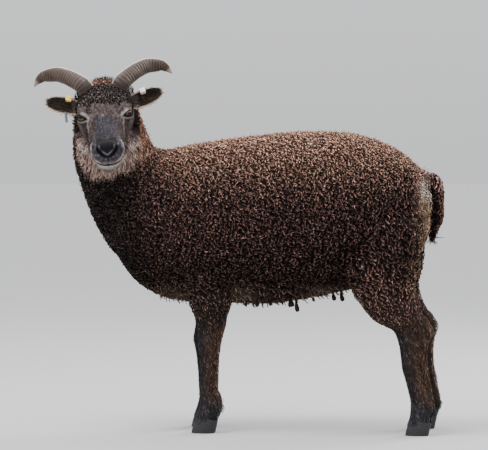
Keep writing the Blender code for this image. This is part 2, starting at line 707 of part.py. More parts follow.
def split_loose(whole, seeds, collection):
    """Parts the cut model: each seed point's nearest loose piece becomes the node of its name."""
    shape = bmesh.new()
    shape.from_mesh(whole.data)
    shape.verts.ensure_lookup_table()
    mark = [-1] * len(shape.verts)
    groups = []
    for vert in shape.verts:
        if mark[vert.index] >= 0:
            continue
        mark[vert.index] = len(groups)
        stack, group = [vert], []
        while stack:
            here = stack.pop()
            group.append(here)
            for edge in here.link_edges:
                other = edge.other_vert(here)
                if mark[other.index] < 0:
                    mark[other.index] = len(groups)
                    stack.append(other)
        groups.append(group)
    nodes = {}
    for name, seed in seeds.items():
        seed = Vector(seed)
        large = [g for g in groups if len(g) > 20]
        nearest = min(large, key=lambda g: min((v.co - seed).length_squared for v in g))
        keep = set(v.index for v in nearest)
        piece = shape.copy()
        piece.verts.ensure_lookup_table()
        bmesh.ops.delete(piece, geom=[v for v in piece.verts if v.index not in keep], context="VERTS")
        mesh = bpy.data.meshes.new(name)
        piece.to_mesh(mesh)
        piece.free()
        nodes[name] = new_object(name, mesh, collection)
    shape.free()
    bpy.data.objects.remove(whole)
    return nodes


def clipped_strip(name, size, place, side, collection):
    """A strip with rounded edges, cut to fit round the ear that it is clipped on."""
    shape = bmesh.new()
    bmesh.ops.create_cube(shape, size=1.0)
    rim = [e for e in shape.edges if abs(e.verts[0].co.x - e.verts[1].co.x) < 0.1]
    mesh = bpy.data.meshes.new(name)
    bmesh.ops.scale(shape, vec=size, verts=shape.verts)
    bmesh.ops.bevel(shape, geom=rim, offset=0.0012, segments=2, affect="EDGES", profile=0.5)
    shape.to_mesh(mesh)
    shape.free()
    mesh.transform(HEAD @ place)
    tag = new_object(name, mesh, collection)
    seat = make_collection("seat")
    ear_shell("seat", side, seat, TAG_PLAY)
    return combine(tag, seat, "DIFFERENCE")


def ear_edge(side, share, upper):
    """A point on the ear's upper or lower edge, and the direction in which the ear's leaf ends there."""
    along, across, cup = ear_frame(side)
    width, turn = read_stations(EAR, [share])[0]
    radius = width / math.sin(turn)
    edge = mirrored(EAR_ROOT, side) + along * (share * EAR_LENGTH) + across * (width * upper)
    edge += cup * (radius * (1 - math.cos(turn)))
    return edge, (across * (math.cos(turn) * upper) + cup * math.sin(turn)).normalized()


def ear_tag(name, side, share, size, collection):
    """A folded strip clipped over the ear's upper edge."""
    along, _, _ = ear_frame(side)
    edge, outward = ear_edge(side, share, 1)
    turned = Matrix((along, outward, along.cross(outward))).transposed().to_4x4()
    middle = edge - outward * (size[1] / 2 - TAG_RISE)
    return clipped_strip(name, size, Matrix.Translation(middle) @ turned, side, collection)


def ear_pin(name, side, share, size, collection):
    """A narrow tag that hangs from the ear's lower edge."""
    _, _, cup = ear_frame(side)
    edge, _ = ear_edge(side, share, -1)
    across = HEAD_UP.cross(cup).normalized()
    turned = Matrix((across, HEAD_UP, across.cross(HEAD_UP))).transposed().to_4x4()
    middle = edge - HEAD_UP * PIN_HANG
    return clipped_strip(name, size, Matrix.Translation(middle) @ turned, side, collection)


def eye_centre(side):
    return mirrored(EYE_CENTRE, side)


def eye_turn(side):
    """The eye's own axes: along the slit between the lids, across it, and out along the gaze."""
    gaze = mirrored(EYE_GAZE, side)
    slit = HEAD_FACING - HEAD_UP * 0.15
    slit = (slit - gaze * slit.dot(gaze)).normalized()
    return Matrix((slit, gaze.cross(slit), gaze)).transposed().to_4x4()


def eye_ball(name, side, radius, collection):
    shape = bmesh.new()
    bmesh.ops.create_uvsphere(shape, u_segments=14, v_segments=8, radius=radius)
    mesh = bpy.data.meshes.new(name)
    shape.to_mesh(mesh)
    shape.free()
    mesh.transform(HEAD @ Matrix.Translation(eye_centre(side)) @ eye_turn(side))
    return new_object(name, mesh, collection)


def carve_face(core):
    """Opens the lids over sunk eyes, the nostrils and the line of the mouth."""
    lids = make_collection("lids")
    for side in (1, -1):
        eye_ball("lid", side, LID_RADIUS, lids)
    combine(core, lids, "UNION")
    cutters = make_collection("face_cutters")
    for side in (1, -1):
        eye_ball("socket", side, EYE_RADIUS + GAP, cutters)
        opening = Matrix.Translation(mirrored(EYE_GAZE, side) * (EYE_RADIUS + 0.002)) @ eye_turn(side)
        opening = HEAD @ Matrix.Translation(eye_centre(side)) @ opening
        ellipsoid("opening", Vector((0, 0, 0)), EYE_OPENING, cutters, opening, 2)
        slant = Matrix.Rotation(side * math.radians(-38), 4, "Y")
        nostril = Matrix.Translation(mirrored((0.0115, 0.2005, 0.0110), side)) @ slant
        lift_muzzle(ellipsoid("nostril", Vector((0, 0, 0)), (0.0085, 0.0090, 0.0026), cutters, nostril, 2))
    mouth_rings = []
    for i in range(13):
        angle = math.radians(-78 + 13 * i)
        out = Vector((math.sin(angle), math.cos(angle), 0))
        centre = Vector((0, 0.172, -0.0185 + 0.006 * (1 - math.cos(angle))))
        inner, outer = centre + out * 0.016, centre + out * 0.050
        lift = Vector((0, 0, 0.0006))
        mouth_rings.append([inner - lift, outer - lift, outer + lift, inner + lift])
    lift_muzzle(loft("mouth", mouth_rings, cutters))
    for item in cutters.objects:
        if item.name.startswith(("nostril", "mouth")):
            item.data.transform(HEAD)
    combine(core, cutters, "DIFFERENCE")


def claw(name, centre_x, y, side, collection):
    """One half of a cloven hoof, flat on the ground, toe towards -X."""
    rows = []
    for height, scale, back in ((0.0, 1.0, 0.0), (0.35, 0.985, 0.002), (0.7, 0.93, 0.005), (1.0, 0.86, 0.008)):
        row = []
        for i in range(14):
            angle = 2 * math.pi * i / 14
            c, s = math.cos(angle), math.sin(angle)
            pinch = 1 - 0.45 * max(0.0, -c) ** 2  # the toe is narrower
            x = c * HOOF_LENGTH / 2 * scale + back
            inner = 0.55 if s * side < 0 else 1.0  # nearly flat where the claws face each other
            width = s * CLAW_WIDTH * 0.62 * pinch * scale * inner
            top = HOOF_HEIGHT - CORONET_SLOPE * x
            row.append(Vector((centre_x + x, y + width, height * top)))
        rows.append(row)
    return loft(name, rows, collection)


def foot_centre(table, knee_shift, foot_shift):
    """Middle of a foot's length at the ground, from the toe that the pastern points to."""
    coronet = float(read_stations(table, [0.026])[0][0])
    return coronet + lean(0.026, knee_shift, foot_shift) - 0.004


def build():
    clear_scene()
    sheep = make_collection("soay_sheep")
    work = make_collection("work")
    fleece = make_material("fleece", FLEECE_COLOUR, 0.95)
    face_hair = make_material("face_hair", FACE_COLOUR, 0.85)
    leg_hair = make_material("leg_hair", LEG_COLOUR, 0.85)
    ear_hair = make_material("ear_hair", EAR_COLOUR, 0.85)
    horn_sheath = make_material("horn", HORN_COLOUR, 0.55)
    hoof_wall = make_material("hoof", HOOF_COLOUR, 0.6)
    eye_gloss = make_material("eye", EYE_COLOUR, 0.1)
    yellow_tag = make_material("yellow_tag", YELLOW_TAG_COLOUR, 0.4)
    white_tag = make_material("white_tag", WHITE_TAG_COLOUR, 0.4)
    grey_tag = make_material("grey_tag", GREY_TAG_COLOUR, 0.4)

    whole = body_core(work)
    head = head_core(work)
    add_fleece(whole, head)
    carve_face(head)
    joined = make_collection("joined")
    work.objects.unlink(head)
    joined.objects.link(head)
    for side, name in ((1, "right"), (-1, "left")):
        horn_loft("horn_" + name, side, joined)
        ear_shell("ear_" + name, side, joined)
    combine(whole, joined, "UNION")

    cuts = make_collection("cuts")
    slab("neck_cut", Vector((-0.215, 0, 0.485)), (-0.80, 0, 0.60), 0.34, 0.34, cuts)
    throat = HEAD_ORIGIN + Vector((0, -0.045, -0.135))
    slab("head_cut", throat + Vector((0, 0.06, 0.045)), (0, -0.60, 0.80), 0.42, 0.26, cuts)
    slab("tail_cut", Vector((0.3772, 0, 0.43)), (1, 0, -0.10), 0.2, 0.2, cuts)
    slab("front_cut", Vector((-0.06, 0, 0.243)), (0, 0, 1), 0.18, 0.3, cuts)
    slab("hind_cut", Vector((0.30, 0, 0.258)), (0, 0, 1), 0.24, 0.3, cuts)
    for side in (1, -1):
        along, _, _ = ear_frame(side)
        ear_at = mirrored(EAR_ROOT, side) + along * EAR_CUT
        slab("ear_cut", HEAD @ ear_at, HEAD.to_3x3() @ along, 0.06, 0.06, cuts)
        row = read_stations(HORN, [0.14])[0]
        offset = Vector((row[0], 0, 0)) + HEAD_UP * row[1] - HEAD_FACING * row[2]
        normal = Vector((0.55 * side, 0, 0)) + HEAD_UP * 0.65 - HEAD_FACING * 0.5
        slab("horn_cut", HEAD @ mirrored(HORN_ROOT + offset, side), HEAD.to_3x3() @ normal, 0.05, 0.05, cuts)
    combine(whole, cuts, "DIFFERENCE")

    seeds = {
        "torso": (0.10, 0, 0.587),
        "neck": (-0.30, 0, 0.43),
        "head": HEAD @ Vector((0, 0.10, 0.04)),
        "tail": (0.398, 0, 0.43),
    }
    for name, (table, side, track, knee_shift, foot_shift) in LEGS.items():
        x = read_stations(table, [0.1])[0][0] + foot_shift
        seeds[name] = (x, side * track / 2, 0.1)
    for side, name in ((1, "right"), (-1, "left")):
        along, _, _ = ear_frame(side)
        seeds["ear_" + name] = HEAD @ (mirrored(EAR_ROOT, side) + along * EAR_LENGTH)
        row = read_stations(HORN, [1.0])[0]
        offset = Vector((row[0], 0, 0)) + HEAD_UP * row[1] - HEAD_FACING * row[2]
        seeds["horn_" + name] = HEAD @ mirrored(HORN_ROOT + offset, side)
    nodes = split_loose(whole, seeds, sheep)

    for name, (table, side, track, knee_shift, foot_shift) in LEGS.items():
        foot_x = foot_centre(table, knee_shift, foot_shift)
        trim = make_collection("trim")
        shape = bmesh.new()
        bmesh.ops.create_cube(shape, size=0.12)
        mesh = bpy.data.meshes.new("sole_trim")
        shape.to_mesh(mesh)
        shape.free()
        tilt = Vector((CORONET_SLOPE, 0, 1)).to_track_quat("Z", "X").to_matrix().to_4x4()
        top = Vector((foot_x, side * track / 2, HOOF_HEIGHT + GAP))
        mesh.transform(Matrix.Translation(top) @ tilt @ Matrix.Translation((0, 0, -0.06)))
        new_object("sole_trim", mesh, trim)
        combine(nodes[name], trim, "DIFFERENCE")
        for claw_side, word in ((-1, "outer"), (1, "inner")):
            offset = side * -claw_side * (CLAW_WIDTH / 2 + 0.0005)
            direction = 1 if offset > 0 else -1
            claw_name = name.replace("leg_", "hoof_") + "_" + word
            nodes[claw_name] = claw(claw_name, foot_x, side * track / 2 + offset, direction, sheep)

    for side, name in ((1, "right"), (-1, "left")):
        nodes["eye_" + name] = eye_ball("eye_" + name, side, EYE_RADIUS, sheep)

    nodes["tag_right"] = ear_tag("tag_right", 1, 0.42, TAG_SIZE_RIGHT, sheep)
    nodes["tag_right_lower"] = ear_pin("tag_right_lower", 1, 0.44, PIN_SIZE, sheep)
    nodes["tag_left"] = ear_tag("tag_left", -1, 0.52, TAG_SIZE_LEFT, sheep)

    looks = {
        "tag_right_lower": grey_tag, "tag_right": yellow_tag, "tag_left": white_tag,
        "torso": fleece, "neck": fleece, "tail": fleece, "head": face_hair, "leg_": leg_hair,
        "ear_": ear_hair, "horn_": horn_sheath, "hoof_": hoof_wall, "eye_": eye_gloss,
    }
    for name, item in nodes.items():
        look = next(looks[key] for key in looks if name.startswith(key))
        item.data.materials.clear()
        item.data.materials.append(look)
        item.data.transform(Matrix.Translation(CENTRE))
        item.data.shade_smooth()
        item.data.set_sharp_from_angle(angle=math.radians(50))
    bpy.data.collections.remove(work)


build()
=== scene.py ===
"""The looks of a Soay sheep in its dark curly fleece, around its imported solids.

The station tables are those of the solids and give the outline of the coat. The skin lies inside it by the
depth of the wool, and every lock of wool grows from the skin out to that outline. All sizes are metres.
"""

import json
import math

import bmesh
import bpy
import numpy as np
from mathutils import Matrix, Vector
from mathutils.bvhtree import BVHTree
from mathutils.kdtree import KDTree

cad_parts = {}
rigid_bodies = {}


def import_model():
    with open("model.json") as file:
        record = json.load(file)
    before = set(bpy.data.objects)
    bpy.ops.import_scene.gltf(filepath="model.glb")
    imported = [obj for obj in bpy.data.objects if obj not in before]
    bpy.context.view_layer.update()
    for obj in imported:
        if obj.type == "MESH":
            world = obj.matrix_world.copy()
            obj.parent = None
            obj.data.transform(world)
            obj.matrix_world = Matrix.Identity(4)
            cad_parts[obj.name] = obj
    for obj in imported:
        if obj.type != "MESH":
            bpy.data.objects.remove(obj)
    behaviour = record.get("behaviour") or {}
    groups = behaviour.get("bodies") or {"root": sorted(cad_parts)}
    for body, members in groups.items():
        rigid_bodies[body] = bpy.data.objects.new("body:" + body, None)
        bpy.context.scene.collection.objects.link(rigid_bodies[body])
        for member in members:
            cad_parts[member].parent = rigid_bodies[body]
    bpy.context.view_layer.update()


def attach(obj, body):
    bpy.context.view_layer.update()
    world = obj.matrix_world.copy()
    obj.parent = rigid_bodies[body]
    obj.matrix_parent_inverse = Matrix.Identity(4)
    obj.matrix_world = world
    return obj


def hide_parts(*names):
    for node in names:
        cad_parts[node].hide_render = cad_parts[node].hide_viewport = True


# Driving sizes, as in the solids
WITHERS = 0.560
TRUNK_LENGTH = 0.634
TRUNK_WIDTH = 0.290
HEAD_LENGTH = 0.207
FORE_LEG_TRACK = 0.130
HIND_LEG_TRACK = 0.144
CENTRE = Vector((0.0008, 0.0291, 0.0))
BREAST_X = -0.258
WOOL_DEPTH = 0.012
HAIR_DEPTH = 0.0009  # short hair on the legs and face
TAIL_WOOL_DEPTH = 0.005
FLEECE_FOOT_FORE = 0.262
FLEECE_FOOT_HIND = 0.276

# Trunk: share of its length, back and belly as shares of the withers' height, half width as one of the width
TRUNK = (
    (0.000, 0.750, 0.643, 0.120),
    (0.042, 0.857, 0.562, 0.293),
    (0.112, 0.950, 0.486, 0.372),
    (0.205, 0.995, 0.452, 0.420),
    (0.329, 1.018, 0.446, 0.455),
    (0.468, 1.037, 0.443, 0.490),
    (0.608, 1.050, 0.461, 0.500),
    (0.716, 1.048, 0.486, 0.493),
    (0.809, 1.030, 0.509, 0.465),
    (0.887, 0.995, 0.536, 0.414),
    (0.949, 0.946, 0.589, 0.328),
    (0.986, 0.898, 0.660, 0.214),
    (1.000, 0.857, 0.714, 0.120),
)
# Neck: share of the way up, centre x, y, z, half depth (throat to nape), half width
NECK = (
    (0.00, -0.100, 0.000, 0.400, 0.135, 0.095),
    (0.30, -0.177, 0.000, 0.445, 0.123, 0.093),
    (0.60, -0.240, -0.008, 0.515, 0.084, 0.080),
    (0.85, -0.257, -0.022, 0.585, 0.071, 0.069),
    (0.95, -0.262, -0.029, 0.635, 0.058, 0.058),
    (1.00, -0.268, -0.031, 0.665, 0.044, 0.042),
)
# Fore leg: height, centre x, half depth, half width
FORE_LEG = (
    (0.020, -0.065, 0.0210, 0.0200),
    (0.042, -0.0565, 0.0215, 0.0205),
    (0.060, -0.053, 0.0208, 0.0205),
    (0.081, -0.056, 0.0172, 0.0172),
    (0.106, -0.056, 0.0168, 0.0168),
    (0.145, -0.056, 0.0180, 0.0185),
    (0.171, -0.056, 0.0215, 0.0218),
    (0.215, -0.0515, 0.0275, 0.0270),
    (0.248, -0.053, 0.0370, 0.0350),
    (0.290, -0.060, 0.0500, 0.0400),
    (0.360, -0.085, 0.0600, 0.0430),
)
# Hind leg: height, centre x, half depth, half width
HIND_LEG = (
    (0.020, 0.351, 0.0210, 0.0200),
    (0.040, 0.3575, 0.0215, 0.0205),
    (0.060, 0.359, 0.0220, 0.0210),
    (0.094, 0.3520, 0.0220, 0.0180),
    (0.133, 0.343, 0.0230, 0.0185),
    (0.165, 0.341, 0.0250, 0.0205),
    (0.200, 0.340, 0.0345, 0.0260),
    (0.223, 0.316, 0.0500, 0.0320),
    (0.256, 0.294, 0.0540, 0.0390),
    (0.279, 0.284, 0.0590, 0.0450),
    (0.330, 0.279, 0.0770, 0.0530),
    (0.420, 0.280, 0.0830, 0.0550),
)
KNEE_HEIGHT = 0.175
# Leg: table, side, track, knee shift, foot shift
LEGS = {
    "front_left": (FORE_LEG, -1, FORE_LEG_TRACK, 0.0, 0.0),
    "front_right": (FORE_LEG, 1, FORE_LEG_TRACK, -0.024, -0.016),
    "hind_left": (HIND_LEG, -1, HIND_LEG_TRACK, 0.0, 0.0),
    "hind_right": (HIND_LEG, 1, HIND_LEG_TRACK, 0.006, 0.006),
}
# Tail: share of its length, centre x, z, half depth, half width
TAIL = (
    (0.00, 0.352, 0.498, 0.0150, 0.0190),
    (0.18, 0.374, 0.482, 0.0165, 0.0215),
    (0.45, 0.3835, 0.450, 0.0160, 0.0230),
    (0.72, 0.3825, 0.420, 0.0150, 0.0205),
    (0.90, 0.377, 0.398, 0.0100, 0.0140),
    (1.00, 0.372, 0.381, 0.0040, 0.0060),
)

# The head's frame: x to the animal's right, y along the nose, z out of the forehead
HEAD_TURN = math.radians(97)
HEAD_PITCH = math.radians(50)
HEAD_ROLL = math.radians(5.5)
HEAD_ORIGIN = Vector((-0.265, -0.050, 0.6725))
MUZZLE_LIFT = math.radians(18)  # the nose is raised from the line of the forehead
MUZZLE_BEND = (0.088, 0.128, -0.008)  # where along the head it starts and ends, and the height of its axis
# Skull and muzzle: share of the head's length, top, bottom, half width, how much wider the top is
SKULL = (
    (-0.170, -0.018, -0.033, 0.011, 0.00),
    (-0.120, -0.006, -0.046, 0.029, 0.00),
    (0.000, 0.020, -0.055, 0.047, 0.00),
    (0.145, 0.0365, -0.061, 0.0515, 0.05),
    (0.270, 0.042, -0.063, 0.0545, 0.08),
    (0.370, 0.040, -0.062, 0.0560, 0.08),
    (0.440, 0.038, -0.059, 0.0520, 0.03),
    (0.530, 0.0355, -0.053, 0.0430, -0.06),
    (0.680, 0.033, -0.052, 0.0345, -0.12),
    (0.800, 0.031, -0.047, 0.0315, -0.06),
    (0.895, 0.026, -0.044, 0.0295, 0.00),
    (0.965, 0.015, -0.037, 0.0235, 0.00),
    (1.000, 0.003, -0.024, 0.0110, 0.00),
)
# Round masses of the head: centre and half sizes
PAIRED_MASSES = {
    "brow": ((0.036, 0.070, 0.019), (0.0175, 0.0260, 0.0155)),
    "cheek": ((0.034, 0.078, -0.030), (0.0190, 0.0420, 0.0300)),
    "lip": ((0.013, 0.181, -0.001), (0.0200, 0.0210, 0.0215)),
}
MIDDLE_MASSES = {
    "chin": ((0.000, 0.177, -0.034), (0.0190, 0.0205, 0.0150)),
    "nose_pad": ((0.000, 0.192, 0.011), (0.0210, 0.0120, 0.0130)),
}
EYE_CENTRE = Vector((0.0400, 0.0860, 0.0150))
EYE_RADIUS = 0.0130
EYE_GAZE = Vector((0.66, 0.48, 0.58)).normalized()
LID_RADIUS = 0.0150
LID_RIM_RADIUS = 0.0009
EYE_OPENING = (0.0112, 0.0050, 0.0110)
EYE_DROP = 0.0012  # the slit lies this far below the middle of the eye

HORN_ROOT = Vector((0.0350, 0.0203, 0.0281))
# Horn: share of its length, how far out, up and back from its root, half breadth, half thickness
HORN = (
    (-0.12, -0.0050, -0.0120, 0.0020, 0.0165, 0.0130),
    (0.00, 0.0000, 0.0000, 0.0000, 0.0165, 0.0130),
    (0.16, 0.0137, 0.0122, 0.0120, 0.0162, 0.0126),
    (0.41, 0.0360, 0.0257, 0.0350, 0.0152, 0.0116),
    (0.62, 0.0576, 0.0325, 0.0550, 0.0144, 0.0106),
    (0.79, 0.0790, 0.0315, 0.0660, 0.0117, 0.0084),
    (0.90, 0.0918, 0.0240, 0.0680, 0.0076, 0.0056),
    (1.00, 0.1012, 0.0130, 0.0650, 0.0012, 0.0010),
)
EAR_ROOT = Vector((0.0400, 0.0414, -0.0088))
EAR_LENGTH = 0.077
EAR_RAISE = math.radians(15)
EAR_THICKNESS = 0.0036
# Ear: share of its length, half width, half angle that its cup turns through
EAR = (
    (0.00, 0.0098, 1.50),
    (0.25, 0.0140, 1.25),
    (0.50, 0.0160, 0.95),
    (0.75, 0.0137, 0.75),
    (0.92, 0.0083, 0.60),
    (1.00, 0.0030, 0.50),
)
THROAT_MIDDLE = Vector((-0.254, -0.060, 0.548))  # the pale ruff under the jaw, and how far it reaches
THROAT_REACH = (0.060, 0.056, 0.053)
FACE_MIDDLE = Vector((-0.243, -0.150, 0.590))
HORN_RINGS = 20
IRIS_RADIUS = 0.0088
PUPIL = (0.0056, 0.0025)  # half its length and height
HOOF_LENGTH = 0.045
HOOF_HEIGHT = 0.030
CLAW_WIDTH = 0.0185
CORONET_SLOPE = 0.22
# Claw: share of its height, how wide it is, how far it is set back
CLAW = (
    (0.00, 0.975, 0.0000),
    (0.03, 1.000, 0.0000),
    (0.35, 0.985, 0.0020),
    (0.70, 0.930, 0.0050),
    (0.94, 0.875, 0.0075),
    (1.00, 0.840, 0.0080),
)
CLAW_RINGS = 9  # growth lines up a claw
FOOT_HEIGHT = 0.026  # where a leg's middle gives the middle of its claws
DEW_CLAW_HEIGHT = 0.050
DEW_CLAW_SPREAD = 0.0085
DEW_CLAW_SIZES = (0.0055, 0.0048, 0.0085)
SIDES = ((1, "right"), (-1, "left"))

# Camera at the photo's viewpoint
CAMERA_AIM = Vector((0.0068, 0.0291, 0.403))
CAMERA_AZIMUTH = math.radians(6.0)
CAMERA_ELEVATION = math.radians(1.53)
CAMERA_DISTANCE = 5.5
CAMERA_LENS = 206.56
LIGHT_AIM = Vector((0, 0, 0.4))

# Small dark clots on the belly's longest locks: x, y, how far below the skin, half width
BELLY_CLOTS = (
    (-0.020, -0.055, 0.024, 0.0022), (0.014, -0.040, 0.024, 0.0026), (0.034, -0.050, 0.027, 0.0042),
    (0.062, -0.050, 0.024, 0.0034), (0.078, -0.045, 0.023, 0.0026), (0.112, -0.040, 0.045, 0.0052),
    (0.102, -0.048, 0.034, 0.0070), (0.142, -0.040, 0.026, 0.0032), (0.177, -0.035, 0.032, 0.0050),
    (0.199, -0.030, 0.034, 0.0052),
    (0.050, 0.050, 0.020, 0.0024), (0.130, 0.055, 0.022, 0.0028),
)
BODY_MIDDLE = 0.0291
ROW_SPACING = 0.0088  # upright rows that the locks of the sides stand in
SPACING = {  # from tuft to tuft
    "wool": 0.0043, "tail": 0.0036, "wisps": 0.0084, "belly": 0.0085, "leg_wool": 0.0047, "leg_hair": 0.0030,
    "face": 0.0021, "ruff": 0.0030, "ear": 0.0019,
}
# Parts of the fleece, each from one x to another
FLEECE_PARTS = (
    ("neck", -1.0, -0.19),
    ("shoulder", -0.19, -0.06),
    ("flank", -0.06, 0.06),
    ("loin", 0.06, 0.19),
    ("rump", 0.19, 1.0),
)
LEGS_PART = 0.1  # the fore legs are ahead of this x, the hind legs behind it
HAIR_FOOT = 0.019  # the legs' hair ends here, at the coronet
SEAM_DEPTH = 0.0015  # roots this deep are kept where trunk and legs meet, so that no bare line shows
HANG = (0.45, 0.0, -1.0)  # wool lies down and back
BAKE_PATCH = 0.003  # a tuft's size on its piece's unwrap
BODY_VOXEL = 0.0055
LEG_VOXEL = 0.0026
LEG_TRIANGLES = 60000
HEAD_VOXEL = 0.0015
LID_VOXEL = 0.0012
SAME_PLACE = 0.0003  # a point of the joined skin this near to an older one came from it
FLOOR_RADIUS = 40.0
WORLD_LOW = 0.97  # the sky's strength at the horizon and overhead
WORLD_HIGH = 3.0


def srgb(red, green, blue):
    """A colour given as 0..255 on screen, as linear light."""
    shown = np.array((red, green, blue)) / 255
    return np.where(shown <= 0.04045, shown / 12.92, ((shown + 0.055) / 1.055) ** 2.4)


def ramp(value, low, high):
    """0 below low, 1 above high, and a smooth step between; high may be the smaller."""
    t = np.clip((value - low) / (high - low), 0, 1)
    return t * t * (3 - 2 * t)


def bell(value, width):
    return np.exp(-((value / width) ** 2))


def blend(base, over, share):
    return base + (over - base) * np.asarray(share)[..., None]


def lay_over(colour, marks):
    """The colour with markings laid over it in turn, each a colour and how far it shows at every place."""
    for over, share in marks:
        colour = blend(colour, over, share)
    return colour


def read_stations(table, places):
    """The columns of a table after its first, read at these places by a cubic that never overshoots."""
    rows = np.array(table, float)
    known, values = rows[:, 0], rows[:, 1:]
    step = np.diff(known)[:, None]
    slope = np.diff(values, axis=0) / step
    tangent = np.zeros_like(values)
    tangent[0], tangent[-1] = slope[0], slope[-1]
    before, after = slope[:-1], slope[1:]
    turning = before * after <= 0
    tangent[1:-1] = np.where(turning, 0, 2 * before * after / np.where(turning, 1, before + after))
    places = np.asarray(places, float)
    i = np.clip(np.searchsorted(known, places) - 1, 0, len(known) - 2)
    t = ((places - known[i]) / step[i, 0])[:, None]
    h = step[i]
    return (
        (2 * t**3 - 3 * t**2 + 1) * values[i]
        + (t**3 - 2 * t**2 + t) * h * tangent[i]
        + (3 * t**2 - 2 * t**3) * values[i + 1]
        + (t**3 - t**2) * h * tangent[i + 1]
    )


def new_object(name, mesh, collection=None):
    made = bpy.data.objects.new(name, mesh)
    (collection or bpy.context.scene.collection).objects.link(made)
    return made


def make_collection(name):
    made = bpy.data.collections.new(name)
    bpy.context.scene.collection.children.link(made)
    return made


def shape_object(shape, name, collection=None):
    mesh = bpy.data.meshes.new(name)
    shape.to_mesh(mesh)
    shape.free()
    return new_object(name, mesh, collection)


def loft(name, rings, collection=None, closed=False):
    """A skin through rings of as many points each, with flat ends or joined into a loop."""
    shape = bmesh.new()
    rows = [[shape.verts.new(point) for point in ring] for ring in rings]
    sides = len(rows[0])
    for low, high in zip(rows, rows[1:] + rows[:closed]):
        for i in range(sides):
            j = (i + 1) % sides
            shape.faces.new((low[i], low[j], high[j], high[i]))
    if not closed:
        shape.faces.new(reversed(rows[0]))
        shape.faces.new(rows[-1])
    bmesh.ops.recalc_face_normals(shape, faces=shape.faces)
    return shape_object(shape, name, collection)


def heading(centres, i):
    """The way that a line of centres runs at one of them."""
    return (centres[min(i + 1, len(centres) - 1)] - centres[max(i - 1, 0)]).normalized()


def squarer(value, squareness):
    """A cosine or sine drawn out towards the corners of a squarer oval; 2 leaves it round."""
    return math.copysign(abs(value) ** (2 / squareness), value)


def oval(centre, across, up, sides, squareness=2.0, top_wider=0.0):
    """One ring of a loft: an ellipse, or a squarer one above 2, that can be wider at its top."""
    ring = []
    for i in range(sides):
        angle = 2 * math.pi * i / sides
        c, s = squarer(math.cos(angle), squareness), squarer(math.sin(angle), squareness)
        ring.append(centre + across * (c * (1 + top_wider * s)) + up * s)
    return ring


def tube(name, centres, radii, sides, collection=None):
    """A closed round tube through the centres."""
    rings = []
    for i, (centre, radius) in enumerate(zip(centres, radii)):
        along = heading(centres, i)
        if i:
            across = (across - along * across.dot(along)).normalized()
        else:
            across = along.orthogonal().normalized()
        rings.append(oval(centre, across * radius, along.cross(across) * radius, sides))
    return loft(name, rings, collection)


def ellipsoid(name, centre, radii, collection=None, subdivisions=4):
    shape = bmesh.new()
    bmesh.ops.create_icosphere(shape, subdivisions=subdivisions, radius=1.0)
    made = shape_object(shape, name, collection)
    made.data.transform(Matrix.Translation(centre) @ Matrix.Diagonal((*radii, 1.0)))
    return made


def settle(item):
    """Makes the object's mesh what its modifiers show, and takes the modifiers off."""
    graph = bpy.context.evaluated_depsgraph_get()
    mesh = bpy.data.meshes.new_from_object(item.evaluated_get(graph))
    item.modifiers.clear()
    item.data = mesh
    return item


def thin_out(item, triangles):
    item.data.calc_loop_triangles()
    thin = item.modifiers.new("thin", "DECIMATE")
    thin.ratio = min(1.0, triangles / len(item.data.loop_triangles))
    thin.use_collapse_triangulate = True
    return settle(item)


def merge_soft(items, voxel, smoothing, triangles=None):
    """One organic skin over overlapping pieces: voxel remesh, smooth, then thin out."""
    base = items[0]
    shape = bmesh.new()
    for item in items:
        shape.from_mesh(item.data)
    base.data = bpy.data.meshes.new(base.name)
    shape.to_mesh(base.data)
    shape.free()
    for item in items[1:]:
        bpy.data.objects.remove(item)
    remesh = base.modifiers.new("skin", "REMESH")
    remesh.mode = "VOXEL"
    remesh.voxel_size = voxel
    relax = base.modifiers.new("relax", "LAPLACIANSMOOTH")
    relax.iterations = smoothing
    relax.lambda_factor = 0.8
    relax.lambda_border = 0.0
    settle(base)
    return thin_out(base, triangles) if triangles else base


def combine(base, others, operation):
    """Joins a collection of closed meshes to the base, or cuts it with them, and removes them."""
    boolean = base.modifiers.new(operation.lower(), "BOOLEAN")
    boolean.operation = operation
    boolean.operand_type = "COLLECTION"
    boolean.collection = others
    boolean.solver = "MANIFOLD"
    settle(base)
    for item in list(others.objects):
        bpy.data.objects.remove(item)
    bpy.data.collections.remove(others)
    return base


def head_matrix():
    """Places the head's own frame on the neck."""
    facing = Vector((-math.cos(HEAD_TURN), -math.sin(HEAD_TURN), 0))
    left = Vector((-facing.y, facing.x, 0))
    up = Vector((0, 0, 1))
    left_rolled = left * math.cos(HEAD_ROLL) + up * math.sin(HEAD_ROLL)
    up_rolled = up * math.cos(HEAD_ROLL) - left * math.sin(HEAD_ROLL)
    nose = facing * math.cos(HEAD_PITCH) - up_rolled * math.sin(HEAD_PITCH)
    brow = facing * math.sin(HEAD_PITCH) + up_rolled * math.cos(HEAD_PITCH)
    turn = Matrix((-left_rolled, nose, brow)).transposed().to_4x4()
    return Matrix.Translation(HEAD_ORIGIN) @ turn


HEAD = head_matrix()
HEAD_TURNED = np.array(HEAD.to_3x3())
HEAD_UP = Vector((0, -math.sin(HEAD_PITCH), math.cos(HEAD_PITCH)))  # straight up, in the head's frame
HEAD_FACING = Vector((0, math.cos(HEAD_PITCH), math.sin(HEAD_PITCH)))


def to_head(points):
    return (points - np.array(HEAD_ORIGIN)) @ HEAD_TURNED


def mirrored(point, side):
    return Vector((point[0] * side, point[1], point[2]))


